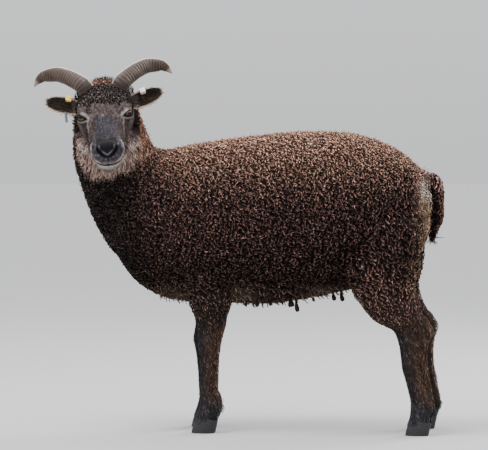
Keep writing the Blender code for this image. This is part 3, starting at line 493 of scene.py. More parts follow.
def lift_muzzle(points):
    """Bends the muzzle up from the line of the forehead."""
    start, end, axis = MUZZLE_BEND
    radius = (end - start) / MUZZLE_LIFT
    x, y, z = np.asarray(points, float).T
    angle = MUZZLE_LIFT * np.clip((y - start) / (end - start), 0, 1)
    beyond = np.maximum(0, y - end)
    along = start + (radius - z + axis) * np.sin(angle) + beyond * np.cos(angle)
    height = axis + radius - (radius - z + axis) * np.cos(angle) + beyond * np.sin(angle)
    bent = y > start
    return np.stack([x, np.where(bent, along, y), np.where(bent, height, z)], axis=1)


def lower_muzzle(points):
    """Undoes the bend, so that a place on the face is known by its station along the head."""
    start, end, axis = MUZZLE_BEND
    radius = (end - start) / MUZZLE_LIFT
    x, y, z = np.asarray(points, float).T
    a, b = y - start, axis + radius - z
    angle = np.arctan2(a, b)
    within = np.stack([x, start + radius * angle, axis + radius - np.hypot(a, b)], axis=1)
    c, s = math.cos(MUZZLE_LIFT), math.sin(MUZZLE_LIFT)
    beyond = np.stack([x, end + a * c - b * s, axis + radius - a * s - b * c], axis=1)
    straight = np.where((angle > MUZZLE_LIFT)[:, None], beyond, within)
    return np.where((a > 0)[:, None], straight, points)


def lift_piece(item):
    move_vertices(item.data, lift_muzzle(coordinates(item.data)))
    return item


def coordinates(mesh):
    flat = np.empty(len(mesh.vertices) * 3, np.float32)
    mesh.vertices.foreach_get("co", flat)
    return flat.reshape(-1, 3).astype(float)


def vertex_normals(mesh):
    flat = np.empty(len(mesh.vertices) * 3, np.float32)
    mesh.vertex_normals.foreach_get("vector", flat)
    return flat.reshape(-1, 3).astype(float)


def move_vertices(mesh, points):
    mesh.vertices.foreach_set("co", points.astype(np.float32).ravel())
    mesh.update()


def near_path(points, path):
    """Distance from each point to a line through the path's points, and the share along it."""
    path = np.array(path, float)
    steps = np.linalg.norm(np.diff(path, axis=0), axis=1)
    reached = np.concatenate([[0], np.cumsum(steps)]) / steps.sum()
    best = np.full(len(points), 1e9)
    share = np.zeros(len(points))
    for a, b, low, high in zip(path, path[1:], reached, reached[1:]):
        line = b - a
        t = np.clip((points - a) @ line / (line @ line), 0, 1)
        distance = np.linalg.norm(points - a - t[:, None] * line, axis=1)
        closer = distance < best
        best[closer] = distance[closer]
        share[closer] = (low + t * (high - low))[closer]
    return best, share


def fold_sides(points):
    """The points with both halves of the head laid on its right half."""
    folded = points.copy()
    folded[:, 0] = np.abs(folded[:, 0])
    return folded


# Body and legs


def trunk_loft():
    places = np.concatenate([np.linspace(0, 0.1, 8), np.linspace(0.12, 0.9, 30), np.linspace(0.915, 1, 8)])
    rings = []
    for share, (top, bottom, width) in zip(places, read_stations(TRUNK, places)):
        x = BREAST_X + WOOL_DEPTH + share * (TRUNK_LENGTH - 2 * WOOL_DEPTH)
        across = Vector((0, width * TRUNK_WIDTH - WOOL_DEPTH, 0))
        up = Vector((0, 0, (top - bottom) * WITHERS / 2 - WOOL_DEPTH))
        rings.append(oval(Vector((x, 0, (top + bottom) * WITHERS / 2)), across, up, 64, 2.15))
    return loft("trunk", rings)


def neck_loft():
    stations = read_stations(NECK, np.linspace(0, 1, 28))
    centres = [Vector(row[:3]) for row in stations]
    rings = []
    for i, (*_, depth, width) in enumerate(stations):
        along = heading(centres, i)
        across = along.cross(Vector((1, 0, 0))).normalized()
        back = across.cross(along).normalized()
        rings.append(oval(centres[i], across * (width - WOOL_DEPTH), back * (depth - WOOL_DEPTH), 48))
    return loft("neck", rings)


def lean(height, knee_shift, foot_shift):
    return float(np.interp(height, (0.05, KNEE_HEIGHT, 0.33), (foot_shift, knee_shift, 0.0)))


def leg_pieces(table, side, track, knee_shift, foot_shift):
    """A leg's loft and the two dew claws behind its fetlock."""
    heights = np.linspace(table[0][0], table[-1][0], 70)
    fleece_foot = FLEECE_FOOT_FORE if table is FORE_LEG else FLEECE_FOOT_HIND
    y = side * track / 2
    rings = []
    for height, (x, depth, width) in zip(heights, read_stations(table, heights)):
        centre = Vector((x + lean(height, knee_shift, foot_shift), y, height))
        share = min(1.0, max(0.0, (height - fleece_foot + 0.018) / 0.036))
        inset = HAIR_DEPTH + (WOOL_DEPTH - HAIR_DEPTH) * share
        rings.append(oval(centre, Vector((0, width - inset, 0)), Vector((depth - inset, 0, 0)), 36, 2.1))
    pieces = [loft("leg", rings)]
    fetlock = DEW_CLAW_HEIGHT + 0.006
    x, depth, _ = read_stations(table, [fetlock])[0]
    behind = x + lean(fetlock, knee_shift, foot_shift) + depth - 0.004
    for spread in (-DEW_CLAW_SPREAD, DEW_CLAW_SPREAD):
        centre = Vector((behind, y + spread, DEW_CLAW_HEIGHT))
        pieces.append(ellipsoid("dew_claw", centre, DEW_CLAW_SIZES, None, 3))
    return pieces


def tail_loft():
    stations = read_stations(TAIL, np.linspace(0, 1, 24))
    centres = [Vector((row[0], 0, row[1])) for row in stations]
    across = Vector((0, 1, 0))
    rings = []
    for i, (*_, depth, width) in enumerate(stations):
        inset = TAIL_WOOL_DEPTH * min(1.0, (depth - 0.003) / 0.010)
        back = across.cross(heading(centres, i))
        rings.append(oval(centres[i], across * (width - inset), back * (depth - inset), 24))
    return loft("tail", rings)


# Head


def eye_turn(side):
    """The eye's own axes: along the slit between the lids, across it, and out along the gaze."""
    gaze = mirrored(EYE_GAZE, side)
    slit = HEAD_FACING - HEAD_UP * 0.15
    slit = (slit - gaze * slit.dot(gaze)).normalized()
    return Matrix((slit, gaze.cross(slit), gaze)).transposed().to_4x4()


def eye_place(side):
    return Matrix.Translation(mirrored(EYE_CENTRE, side)) @ eye_turn(side)


def ball(name, radius, place, collection=None, segments=48):
    shape = bmesh.new()
    bmesh.ops.create_uvsphere(shape, u_segments=segments, v_segments=segments // 2, radius=radius)
    made = shape_object(shape, name, collection)
    made.data.transform(place)
    return made


def lid_edge(angle):
    """A point of the opening's edge on the lid's outside, in the eye's own axes."""
    half_long, half_high = EYE_OPENING[0] * 0.95, EYE_OPENING[1] * 0.98
    x, y = half_long * math.cos(angle), half_high * math.sin(angle)
    y = y * (1.0 + 0.10 * math.cos(angle)) - EYE_DROP
    return Vector((x, y, math.sqrt((LID_RADIUS - 0.0008) ** 2 - x * x - y * y)))


# Grooves and ridges of the face, on its right half: path, half width, height
FACE_FORMS = (
    (((0.0440, 0.1010, 0.0080), (0.0400, 0.1150, 0.0020), (0.0350, 0.1330, -0.0020)), 0.0036, -0.0018),
    (((0.0300, 0.0900, 0.0370), (0.0250, 0.1200, 0.0330), (0.0215, 0.1500, 0.0310)), 0.0040, 0.0010),
    (((0.0000, 0.0700, 0.0420), (0.0000, 0.1200, 0.0370), (0.0000, 0.1600, 0.0330)), 0.0080, -0.0006),
    (((0.0520, 0.0820, 0.0080), (0.0540, 0.0600, 0.0020), (0.0500, 0.0450, -0.0020)), 0.0060, 0.0018),
    (((0.0480, 0.0980, 0.0060), (0.0420, 0.1150, -0.0040), (0.0350, 0.1350, -0.0100)), 0.0060, 0.0012),
    (((0.0300, 0.1600, 0.0050), (0.0320, 0.1500, -0.0080), (0.0360, 0.1250, -0.0220)), 0.0060, -0.0014),
    (((0.0000, 0.2072, -0.0030), (0.0000, 0.2080, -0.0110), (0.0000, 0.2062, -0.0205)), 0.0010, -0.0020),
    (((0.0205, 0.1930, 0.0185), (0.0155, 0.2010, 0.0105), (0.0060, 0.2065, 0.0030)), 0.0022, 0.0013),
    (((0.0215, 0.1940, 0.0080), (0.0165, 0.2010, 0.0010), (0.0080, 0.2060, -0.0045)), 0.0020, 0.0012),
    (((0.0240, 0.1930, -0.0100), (0.0150, 0.2030, -0.0150), (0.0060, 0.2070, -0.0160)), 0.0050, 0.0014),
    (((0.0215, 0.1900, -0.0290), (0.0120, 0.2000, -0.0300), (0.0000, 0.2030, -0.0300)), 0.0050, 0.0016),
)
# A nostril's line from its outer top to its inner end: x, z, how deep its middle lies
NOSTRIL = (
    (0.0190, 0.0150, -0.0004),
    (0.0180, 0.0110, 0.0004),
    (0.0148, 0.0062, 0.0010),
    (0.0100, 0.0020, 0.0008),
    (0.0050, -0.0012, 0.0002),
)
NOSTRIL_RADII = (0.0012, 0.0030, 0.0034, 0.0024, 0.0010)
MOUTH_BACK = 0.172
MOUTH_HEIGHT = -0.0212
MOUTH_DROP = 0.0095
MOUTH_REACH = (0.016, 0.050)  # the cut between the lips runs this far from the jaw's middle


def head_mass():
    """The head's round forms in one soft skin, with its grooves and ridges."""
    places = np.linspace(SKULL[0][0], SKULL[-1][0], 60)
    rings = []
    for share, (top, bottom, width, wider) in zip(places, read_stations(SKULL, places)):
        centre = Vector((0, share * HEAD_LENGTH, (top + bottom) / 2))
        up = Vector((0, 0, (top - bottom) / 2 - HAIR_DEPTH))
        rings.append(oval(centre, Vector((width - HAIR_DEPTH, 0, 0)), up, 56, 2.15, wider))
    pieces = [loft("head", rings)]
    for name, (centre, radii) in PAIRED_MASSES.items():
        for side, _ in SIDES:
            pieces.append(ellipsoid(name, mirrored(centre, side), radii))
    for name, (centre, radii) in MIDDLE_MASSES.items():
        pieces.append(ellipsoid(name, Vector(centre), radii))
    head = merge_soft(pieces, HEAD_VOXEL, 7)
    points = coordinates(head.data)
    normals = vertex_normals(head.data)
    folded = fold_sides(points)
    push = np.zeros(len(points))
    for path, half_width, height in FACE_FORMS:
        distance, share = near_path(folded, path)
        push += height * bell(distance, half_width) * (ramp(share, -0.05, 0.2) * ramp(share, 1.05, 0.8))
    move_vertices(head.data, points + normals * push[:, None])
    return head


def nostril_path(front, side):
    """The line of a nostril, laid on the front of the muzzle."""
    path = []
    for x, z, depth in NOSTRIL:
        hit = front.ray_cast(Vector((x * side, 0.3, z)), Vector((0, -1, 0)))[0]
        path.append(hit - Vector((0, depth, 0)))
    return path


def mouth_rings():
    """The thin curved cut between the lips."""
    rings = []
    lift = Vector((0, 0, 0.0006))
    for degrees in range(-78, 79, 6):
        angle = math.radians(degrees)
        out = Vector((math.sin(angle), math.cos(angle), 0))
        centre = Vector((0, MOUTH_BACK, MOUTH_HEIGHT + MOUTH_DROP * (1 - math.cos(angle))))
        inner, outer = centre + out * MOUTH_REACH[0], centre + out * MOUTH_REACH[1]
        rings.append([inner - lift, outer - lift * 2.0, outer + lift * 2.0, inner + lift])
    return rings


def build_head():
    """The head with its lids, eye sockets, nostrils and mouth, and the line of its right nostril."""
    head = head_mass()
    front = tree_of(head)
    nostrils = [nostril_path(front, side) for side, _ in SIDES]
    lift_piece(head)
    lids = make_collection("lids")
    for side, _ in SIDES:
        ball("lid", LID_RADIUS, eye_place(side), lids)
    combine(head, lids, "UNION")
    head = merge_soft([head], LID_VOXEL, 2)
    rims = make_collection("lid_rims")
    for side, _ in SIDES:
        edge = [eye_place(side) @ lid_edge(2 * math.pi * i / 40) for i in range(40)]
        ring_tube("lid_rim", edge, LID_RIM_RADIUS, rims)
    combine(head, rims, "UNION")
    cutters = make_collection("face_cutters")
    for side, _ in SIDES:
        ball("socket", EYE_RADIUS + 0.0002, eye_place(side), cutters)
        cut = ellipsoid("opening", Vector((0, 0, 0)), EYE_OPENING, cutters)
        cut.data.transform(Matrix.Diagonal((0.88, 0.86, 1.0, 1.0)))
        cut.data.transform(eye_place(side) @ Matrix.Translation((0, -EYE_DROP, EYE_RADIUS + 0.002)))
    for path in nostrils:
        lift_piece(tube("nostril", path, NOSTRIL_RADII, 14, cutters))
    lift_piece(loft("mouth", mouth_rings(), cutters))
    combine(head, cutters, "DIFFERENCE")
    head.data.transform(HEAD)
    return head, [tuple(place) for place in nostrils[0]]


def ring_tube(name, centres, radius, collection):
    """A closed loop of round tube through the centres."""
    rings = []
    middle = sum(centres, Vector()) / len(centres)
    for i, centre in enumerate(centres):
        along = (centres[(i + 1) % len(centres)] - centres[i - 1]).normalized()
        out = (centre - middle).normalized()
        out = (out - along * out.dot(along)).normalized()
        rings.append(oval(centre, out * radius, along.cross(out) * radius, 8))
    return loft(name, rings, collection, True)


def ear_frame(side):
    """The ear's axes in the head's frame: along it, across it, and out of its cup."""
    out = Vector((side, 0, 0))
    along = (out * math.cos(EAR_RAISE) + HEAD_UP * math.sin(EAR_RAISE) - HEAD_FACING * 0.10).normalized()
    cup = (HEAD_FACING - HEAD_UP * 0.20 - along * HEAD_FACING.dot(along)).normalized()
    return along, along.cross(cup).normalized() * side, cup


def ear_point(side, share, turned, lift=0.0):
    """A point of the ear's leaf: turned runs from -1 at its lower edge to 1 at its upper one."""
    along, across, cup = ear_frame(side)
    width, turn = read_stations(EAR, [share])[0]
    radius = width / math.sin(min(turn, math.pi / 2))
    angle = turn * turned
    point = mirrored(EAR_ROOT, side) + along * (share * EAR_LENGTH)
    point += across * ((radius - lift) * math.sin(angle)) + cup * (radius - (radius - lift) * math.cos(angle))
    return point


def build_ear(side, collection):
    """The curved leaf of an ear, thinner towards its edges."""
    shape = bmesh.new()
    rows, columns = 30, 24
    faces = []
    for lift_sign in (-1, 1):
        grid = []
        for i in range(rows):
            share = i / (rows - 1)
            row = []
            for j in range(columns + 1):
                turned = 2 * j / columns - 1
                edge = min(1.0, math.sqrt(max(0.0, 1 - turned**2)) * 1.3 + 0.25)
                thick = EAR_THICKNESS / 2 * edge * (1 - 0.55 * share)
                row.append(shape.verts.new(HEAD @ ear_point(side, share, turned, lift_sign * thick)))
            grid.append(row)
        faces.append(grid)
    back, front = faces
    for grid, flip in ((back, False), (front, True)):
        for low, high in zip(grid, grid[1:]):
            for a, b, c, d in zip(low, low[1:], high[1:], high):
                shape.faces.new((d, c, b, a) if flip else (a, b, c, d))
    border = []
    for grid in (back, front):
        edge = [row[0] for row in grid] + grid[-1][1:] + [row[-1] for row in grid[-2::-1]] + grid[0][-2:0:-1]
        border.append(edge)
    pairs = list(zip(*border))
    for (a, b), (c, d) in zip(pairs, pairs[1:] + pairs[:1]):
        shape.faces.new((a, b, d, c))
    bmesh.ops.recalc_face_normals(shape, faces=shape.faces)
    return shape_object(shape, "ear", collection)


def build_horn(side, name):
    """A horn from its root in the skull: rounded growth rings, narrow grooves painted dark as shade, and a
    painted highlight along its top.
    """
    rng = np.random.default_rng(40 + side)
    edges = np.linspace(-0.02, 0.93, HORN_RINGS + 1) + rng.uniform(-0.008, 0.008, HORN_RINGS + 1)
    places = np.linspace(HORN[0][0], 1, 190)
    stations = read_stations(HORN, places)
    centres = []
    for out, up, back, *_ in stations:
        centres.append(mirrored(HORN_ROOT + Vector((out, 0, 0)) + HEAD_UP * up - HEAD_FACING * back, side))
    sides = 44
    squareness = 2.3
    rings, colours = [], []
    for i, (share, (*_, half_breadth, half_thickness)) in enumerate(zip(places, stations)):
        along = heading(centres, i)
        flat = along.cross(HEAD_FACING).normalized()
        thick = flat.cross(along).normalized()
        highlight_side = 1 if flat.dot(HEAD_UP) > 0 else -1
        ring = []
        for j in range(sides):
            angle = 2 * math.pi * j / sides
            c, s = math.cos(angle), math.sin(angle)
            slanted = share + 0.012 * s + 0.008 * c
            k = int(np.clip(np.searchsorted(edges, slanted), 1, HORN_RINGS))
            gap = min(slanted - edges[k - 1], edges[k] - slanted) / (edges[k] - edges[k - 1])
            groove = math.exp(-((gap / 0.24) ** 2)) if edges[0] < slanted < edges[-1] else 0.0
            fade = min(1.0, 5 * (1.0 - share)) * (0.55 + 0.45 * math.sin(3.1 * angle + k))
            relief = 1.0 + 0.020 - 0.075 * groove * max(0.2, fade)
            across = flat * (half_breadth * relief * squarer(c, squareness))
            ring.append(centres[i] + across + thick * (half_thickness * relief * squarer(s, squareness)))
            # The grooves are painted near black as the shade in them.
            tone = blend(HORN_BROWN, HORN_DARK, 0.97 * groove * max(0.6, fade))
            tone = tone * (1 + 0.10 * math.sin(5 * k + 2 * c))
            # A painted highlight runs along the top edge; the tip is paler in itself.
            colours.append(lay_over(tone, (
                (HORN_PALE, ramp(c * highlight_side, 0.80, 0.97) * 0.85),
                (HORN_PALE * 0.8, ramp(share, 0.90, 0.97) * 0.5),
                (HORN_DARK, ramp(share, 0.10, -0.02) * 0.45),
            )))
        rings.append([HEAD @ p for p in ring])
    horn = loft(name, rings)
    paint(horn.data, np.array(colours))
    horn.data.shade_smooth()
    return horn


def build_claw(name, centre_x, y, direction):
    """One half of a cloven hoof with its growth lines, flat on the ground, toe towards -X."""
    shares, widths, setbacks = np.array(CLAW).T
    rings = []
    for height in np.concatenate([[0, 0.012, 0.03], np.linspace(0.07, 0.93, 30), [0.96, 0.985, 1.0]]):
        scale = np.interp(height, shares, widths) * (1 - 0.006 * math.cos(2 * math.pi * CLAW_RINGS * height))
        back = np.interp(height, shares, setbacks)
        ring = []
        for i in range(48):
            angle = 2 * math.pi * i / 48
            c, s = math.cos(angle), math.sin(angle)
            pinch = 1 - 0.45 * max(0.0, -c) ** 2
            inner = 0.55 if s * direction < 0 else 1.0
            x = c * HOOF_LENGTH / 2 * scale + back
            width = s * CLAW_WIDTH * 0.62 * pinch * scale * inner
            ring.append(Vector((centre_x + x, y + width, height * (HOOF_HEIGHT - CORONET_SLOPE * x))))
        rings.append(ring)
    claw = loft(name, rings)
    paint(claw.data, np.tile(HOOF_GREY, (len(claw.data.vertices), 1)))
    claw.data.shade_smooth()
    return claw


def build_eye(side, name):
    """A wet eyeball with a raised cornea, an amber iris and a long level pupil."""
    eye = ball(name, EYE_RADIUS, Matrix.Identity(4), None, 200)
    points = coordinates(eye.data)
    x, y, z = points.T
    front = z > 0
    radius = np.hypot(x, y)
    points[:, 2] += np.where(front, 0.0006 * ramp(radius, IRIS_RADIUS, 0.0), 0)
    move_vertices(eye.data, points)
    turned = np.arctan2(y, x)
    streak = 0.5 + 0.25 * np.sin(23 * turned + 1.3) + 0.15 * np.sin(41 * turned)
    streak += 0.1 * np.sin(67 * turned + 0.7)
    slot = (np.abs(x) / PUPIL[0]) ** 2.6 + (np.abs(y) / PUPIL[1]) ** 2.6
    colour = lay_over(IRIS_AMBER, (
        (IRIS_BROWN, streak * 0.6),
        (IRIS_RIM, ramp(radius, IRIS_RADIUS * 0.72, IRIS_RADIUS * 0.98)),
        (PUPIL_BLACK, ramp(slot, 1.25, 0.85)),
        (EYE_WHITE, np.where(front, ramp(radius, IRIS_RADIUS, IRIS_RADIUS * 1.08), 1)),
    ))
    paint(eye.data, colour)
    eye.data.transform(HEAD @ eye_place(side))
    eye.data.shade_smooth()
    return eye


# Markings

HORN_BROWN = srgb(74, 59, 50)
HORN_DARK = srgb(26, 20, 17)
HORN_PALE = srgb(206, 194, 182)
HOOF_GREY = srgb(32, 30, 33)
IRIS_AMBER = srgb(118, 88, 50)
IRIS_BROWN = srgb(96, 58, 26)
IRIS_RIM = srgb(34, 22, 14)
EYE_WHITE = srgb(70, 56, 48)
PUPIL_BLACK = np.array((0.002, 0.002, 0.003))

BACK = srgb(255, 196, 168)
FLANK = srgb(150, 112, 103)
LOW = srgb(134, 105, 91)
CHEST = srgb(94, 80, 78)
NECK_BACK = srgb(244, 182, 152)
WISP = srgb(236, 206, 190)
RUMP_PALE = srgb(228, 212, 200)
RUMP_TAN = srgb(216, 180, 148)
# The tail's dark sides are painted shade and its light rear edge a painted rim light; the belly clots take
# the dark colour too.
TAIL_DARK = srgb(50, 38, 34)
TAIL_RIM_LIGHT = srgb(124, 86, 70)
ELBOW_PALE = srgb(168, 146, 128)
SHANK = srgb(88, 67, 56)
# The shanks' rear edge is a painted rim light.
SHANK_RIM_LIGHT = srgb(114, 83, 65)
SHANK_FRONT = srgb(56, 50, 52)
FOOT = srgb(66, 62, 68)
FOREHEAD = srgb(82, 71, 69)
POLL_RUST = srgb(132, 94, 78)
FACE = srgb(71, 60, 58)
BRIDGE = srgb(49, 45, 52)
FACE_SIDE = srgb(60, 50, 48)
MUZZLE = srgb(54, 51, 56)
NOSE_PAD = srgb(13, 12, 16)
CHEEK = srgb(226, 198, 190)
LIP_PALE = srgb(168, 156, 152)
EYE_RING = srgb(160, 152, 157)
TEAR_STRIPE = srgb(36, 30, 30)
PALE_LINE = srgb(160, 138, 128)
LID_BLACK = srgb(12, 9, 9)
# Painted shade for the face's hollows: nostrils, philtrum and the cut between the lips.
HOLLOW_SHADE = srgb(8, 6, 7)
# Painted highlight on the nostrils' rims.
NOSTRIL_RIM_HIGHLIGHT = srgb(106, 102, 110)
EAR_BACK = srgb(47, 36, 30)
EAR_INSIDE = srgb(43, 33, 27)
EAR_RIM = srgb(226, 198, 174)
THROAT = srgb(204, 174, 160)
FLOOR_GREY = (0.416, 0.414, 0.410, 1.0)
SKY_GREY = (0.83, 0.84, 0.86, 1.0)
TAG_COLOURS = {
    "tag_right": (0.80, 0.56, 0.06),
    "tag_left": (0.78, 0.74, 0.64),
    "tag_right_lower": (0.14, 0.16, 0.20),
}
# Patches of straight hair: middle x and z, half length and height, how clear
STRAIGHT_HAIR = (
    (0.002, 0.272, 0.032, 0.020, 1.0),
    (-0.128, 0.272, 0.030, 0.018, 1.0),
    (0.165, 0.284, 0.034, 0.013, 0.7),
)
# Lines on the face's right half: the dark stripe before the eye, the pale one over it, the upper lip's side
FACE_LINES = (
    ((0.0445, 0.0990, 0.0090), (0.0400, 0.1150, 0.0020), (0.0345, 0.1340, -0.0020)),
    ((0.0350, 0.0980, 0.0220), (0.0340, 0.1100, 0.0160), (0.0326, 0.1410, -0.0070)),
    ((0.0285, 0.1790, 0.0130), (0.0312, 0.1858, 0.0055), (0.0285, 0.1905, -0.0095)),
)


def body_colour(points, normals):
    """Colour of the wool's tips on the trunk, neck and tail, with painted light from above and painted shade
    low down and in the partings.
    """
    x, _, z = points.T
    rear, _, up = normals.T
    crest = z + 0.03 * up - 0.055 * ramp(x, -0.10, -0.17)
    beside_tail = ramp(x, 0.334, 0.352) * ramp(z, 0.30, 0.35) * ramp(z, 0.50, 0.46)
    above_hock = ramp(x, 0.318, 0.336) * ramp(rear, 0.25, 0.65) * ramp(z, 0.26, 0.29) * ramp(z, 0.36, 0.33)
    behind = np.maximum(beside_tail, above_hock)
    # The back is paler, partly its sun-bleached tips and partly painted light from above; lower down the
    # colour is painted darker as shade.
    colour = lay_over(LOW, (
        (FLANK, ramp(z, 0.28, 0.45)),
        (BACK, ramp(crest, 0.44, 0.585)),
        (CHEST, ramp(x, -0.14, -0.24) * ramp(z, 0.60, 0.50) * 0.9),
        (FLANK * 1.9, ramp(x, 0.20, 0.28) * ramp(z, 0.36, 0.30) * 0.8),
        (NECK_BACK, nape_share(points) * 0.95),
        (ELBOW_PALE, straight_share(points) * 0.9),
        (RUMP_TAN, behind * ramp(mottle(points, 0.012, 41), -1.2, 0.2) * 0.85),
        (RUMP_PALE, ramp(x, 0.340, 0.354) * bell(z - 0.474, 0.020)),
    ))
    colour *= (0.8 + 0.2 * ramp(z, 0.30, 0.58))[:, None]
    # Painted shade in the partings between the rows of locks, and painted light along their middles.
    parting_shade = 0.55 * parting_share(points) * ramp(np.abs(up), 0.85, 0.4)
    colour *= np.exp(parting_shade + 0.25 * mottle(points, 0.009, 31) - 0.10)[:, None]
    # The tail's sides are painted dark as shade, and its rear edge lighter as a painted rim light.
    tail = lay_over(TAIL_DARK, (
        (TAIL_RIM_LIGHT, ramp(rear, 0.2, 0.9) * ramp(z, 0.38, 0.42)),
        (FLANK * 1.3, ramp(z, 0.462, 0.482) * ramp(rear, -0.1, 0.4)),
    ))
    return blend(colour, tail, tail_share(points))


def nape_share(points):
    """How far a place is on the rusty back of the neck."""
    x, _, z = points.T
    return ramp(z, 0.49, 0.56) * ramp(x, -0.16, -0.20) * ramp(x, -0.260, -0.225)


def row_phase(points):
    """Counts the upright wavy rows that the locks of the sides stand in."""
    x, _, z = points.T
    bend = 0.0035 * mottle(points, 0.022, 32, 12) + 0.25 * (0.45 - z)
    return (x + bend) / ROW_SPACING


def row_share(points):
    """How clearly the locks of a place stand in rows: not on the back, the neck or the belly."""
    x, _, z = points.T
    return ramp(z, 0.540, 0.440) * ramp(z, 0.27, 0.31) * ramp(x, -0.22, -0.14)


def parting_share(points):
    """One in the middle of a row of locks, minus one in the parting between two rows."""
    return np.cos(2 * math.pi * row_phase(points)) * row_share(points)


def straight_share(points):
    """How far a place has the soft straight hair of the elbows, brisket and groin."""
    x, _, z = points.T
    share = np.zeros(len(points))
    for middle_x, middle_z, half_x, half_z, strength in STRAIGHT_HAIR:
        share += strength * np.exp(-(((x - middle_x) / half_x) ** 2 + ((z - middle_z) / half_z) ** 2))
    return np.clip(share, 0, 1)


def soft_share(points):
    """How far the painted shade of the skin and the tufts' roots is lifted: at the elbows and beside the
    tail, where the hair is soft and pale, and on the nape as painted light.
    """
    x, _, z = points.T
    beside = ramp(x, 0.334, 0.352) * ramp(z, 0.30, 0.35) * ramp(z, 0.51, 0.48) * (1 - tail_share(points))
    return np.maximum(np.maximum(0.6 * straight_share(points), beside), 0.45 * nape_share(points))


def tail_share(points):
    x, y, z = points.T
    return (np.abs(y) < 0.026) * ramp(x, 0.364, 0.370) * (z < 0.50) * (z > 0.36)


def leg_colour(points, normals):
    """Speckled brown shanks, darker in front, with a painted rim light on the rear edge and painted shade on
    the inner side, over dark grey feet.
    """
    _, y, z = points.T
    rearward = normals[:, 0]
    shank = lay_over(SHANK_FRONT, (
        (SHANK, ramp(rearward, -0.7, 0.3)),
        (SHANK_RIM_LIGHT, ramp(rearward, 0.55, 0.95) * 0.8),
    ))
    colour = blend(FOOT, shank, ramp(z, 0.045, 0.080))
    # Painted shade on the inner side, between the legs.
    inner = ramp(-normals[:, 1] * np.sign(y - BODY_MIDDLE), 0.1, 0.7)
    colour = colour * (1 - 0.45 * inner)[:, None]
    return colour * np.exp(0.68 * mottle(points, 0.0048, 21) - 0.08)[:, None]


def paint_eye(colour, place):
    """Black lids round the slit, a pale arch from the inner corner over the eye and a pale arc below it."""
    eye = (place - np.array(EYE_CENTRE)) @ np.array(eye_turn(1).to_3x3())
    along, high = eye[:, 0], eye[:, 1] + EYE_DROP
    near = ramp(eye[:, 2], -0.001, 0.006)
    half_long, half_high = EYE_OPENING[0] * 0.93, EYE_OPENING[1] * 0.95
    reach = np.hypot(along, high)
    reach -= reach / (np.hypot(along / half_long, high / half_high) + 1e-6)
    upper = ramp(high, -0.0010, 0.0020)
    turned = np.arctan2(high, along)
    arch = ramp(turned, -0.45, 0.20) * ramp(turned, 1.90, 0.80)
    arch = arch * ramp(reach, 0.0026, 0.0042) * ramp(reach, 0.0105, 0.0062)
    below = (1 - upper) * ramp(reach, 0.0014, 0.0024) * ramp(reach, 0.0056, 0.0034)
    frayed = 0.75 + 0.25 * mottle(place, 0.0022, 17)
    lid = 0.0009 + 0.0022 * upper
    corner = np.hypot((along - 0.0125) / 3.2, high + 0.0008)
    return lay_over(colour, (
        (EYE_RING, near * np.clip(np.maximum(arch, below) * frayed, 0, 1) * 0.75),
        (LID_BLACK, near * ramp(reach, lid + 0.0007, lid - 0.0005)),
        (LID_BLACK, near * ramp(corner, 0.0016, 0.0008)),
    ))


def mottle(points, grain, seed, waves=28):
    """A soft random pattern with patches of this size, mostly within -1 to 1."""
    draw = np.random.default_rng(seed)
    ways = draw.normal(size=(waves, 3))
    ways *= (math.pi / grain * draw.uniform(0.6, 1.5, waves) / np.linalg.norm(ways, axis=1))[:, None]
    return np.cos(points @ ways.T + draw.uniform(0, 2 * math.pi, waves)).sum(axis=1) / math.sqrt(waves)


def mouth_height(y):
    return MOUTH_HEIGHT + MOUTH_DROP * (1 - np.clip((y - MOUTH_BACK) / 0.035, -1, 1))


def nose_pad_share(place):
    """How far a place on the face, with the bend undone and both sides folded, is on the bare nose pad."""
    x, y, z = place.T
    half = np.interp(z, (-0.005, 0.002, 0.012, 0.020, 0.025), (0.0025, 0.0100, 0.0205, 0.0200, 0.0120))
    within = ramp(x, half + 0.0012, half - 0.0012) * ramp(z, 0.0262, 0.0235) * ramp(z, -0.0065, -0.0035)
    return within * ramp(y, 0.172, 0.180)


def cap_share(place):
    """How far a place on the face is under the curly cap, whose lower edge is uneven."""
    _, y, z = place.T
    edge = y - 0.006 * mottle(place, 0.014, 8) - 0.004 * mottle(place, 0.005, 9)
    return ramp(edge, 0.090, 0.062) * ramp(z + 0.03 * ramp(y, 0.035, 0.005), 0.000, 0.014)


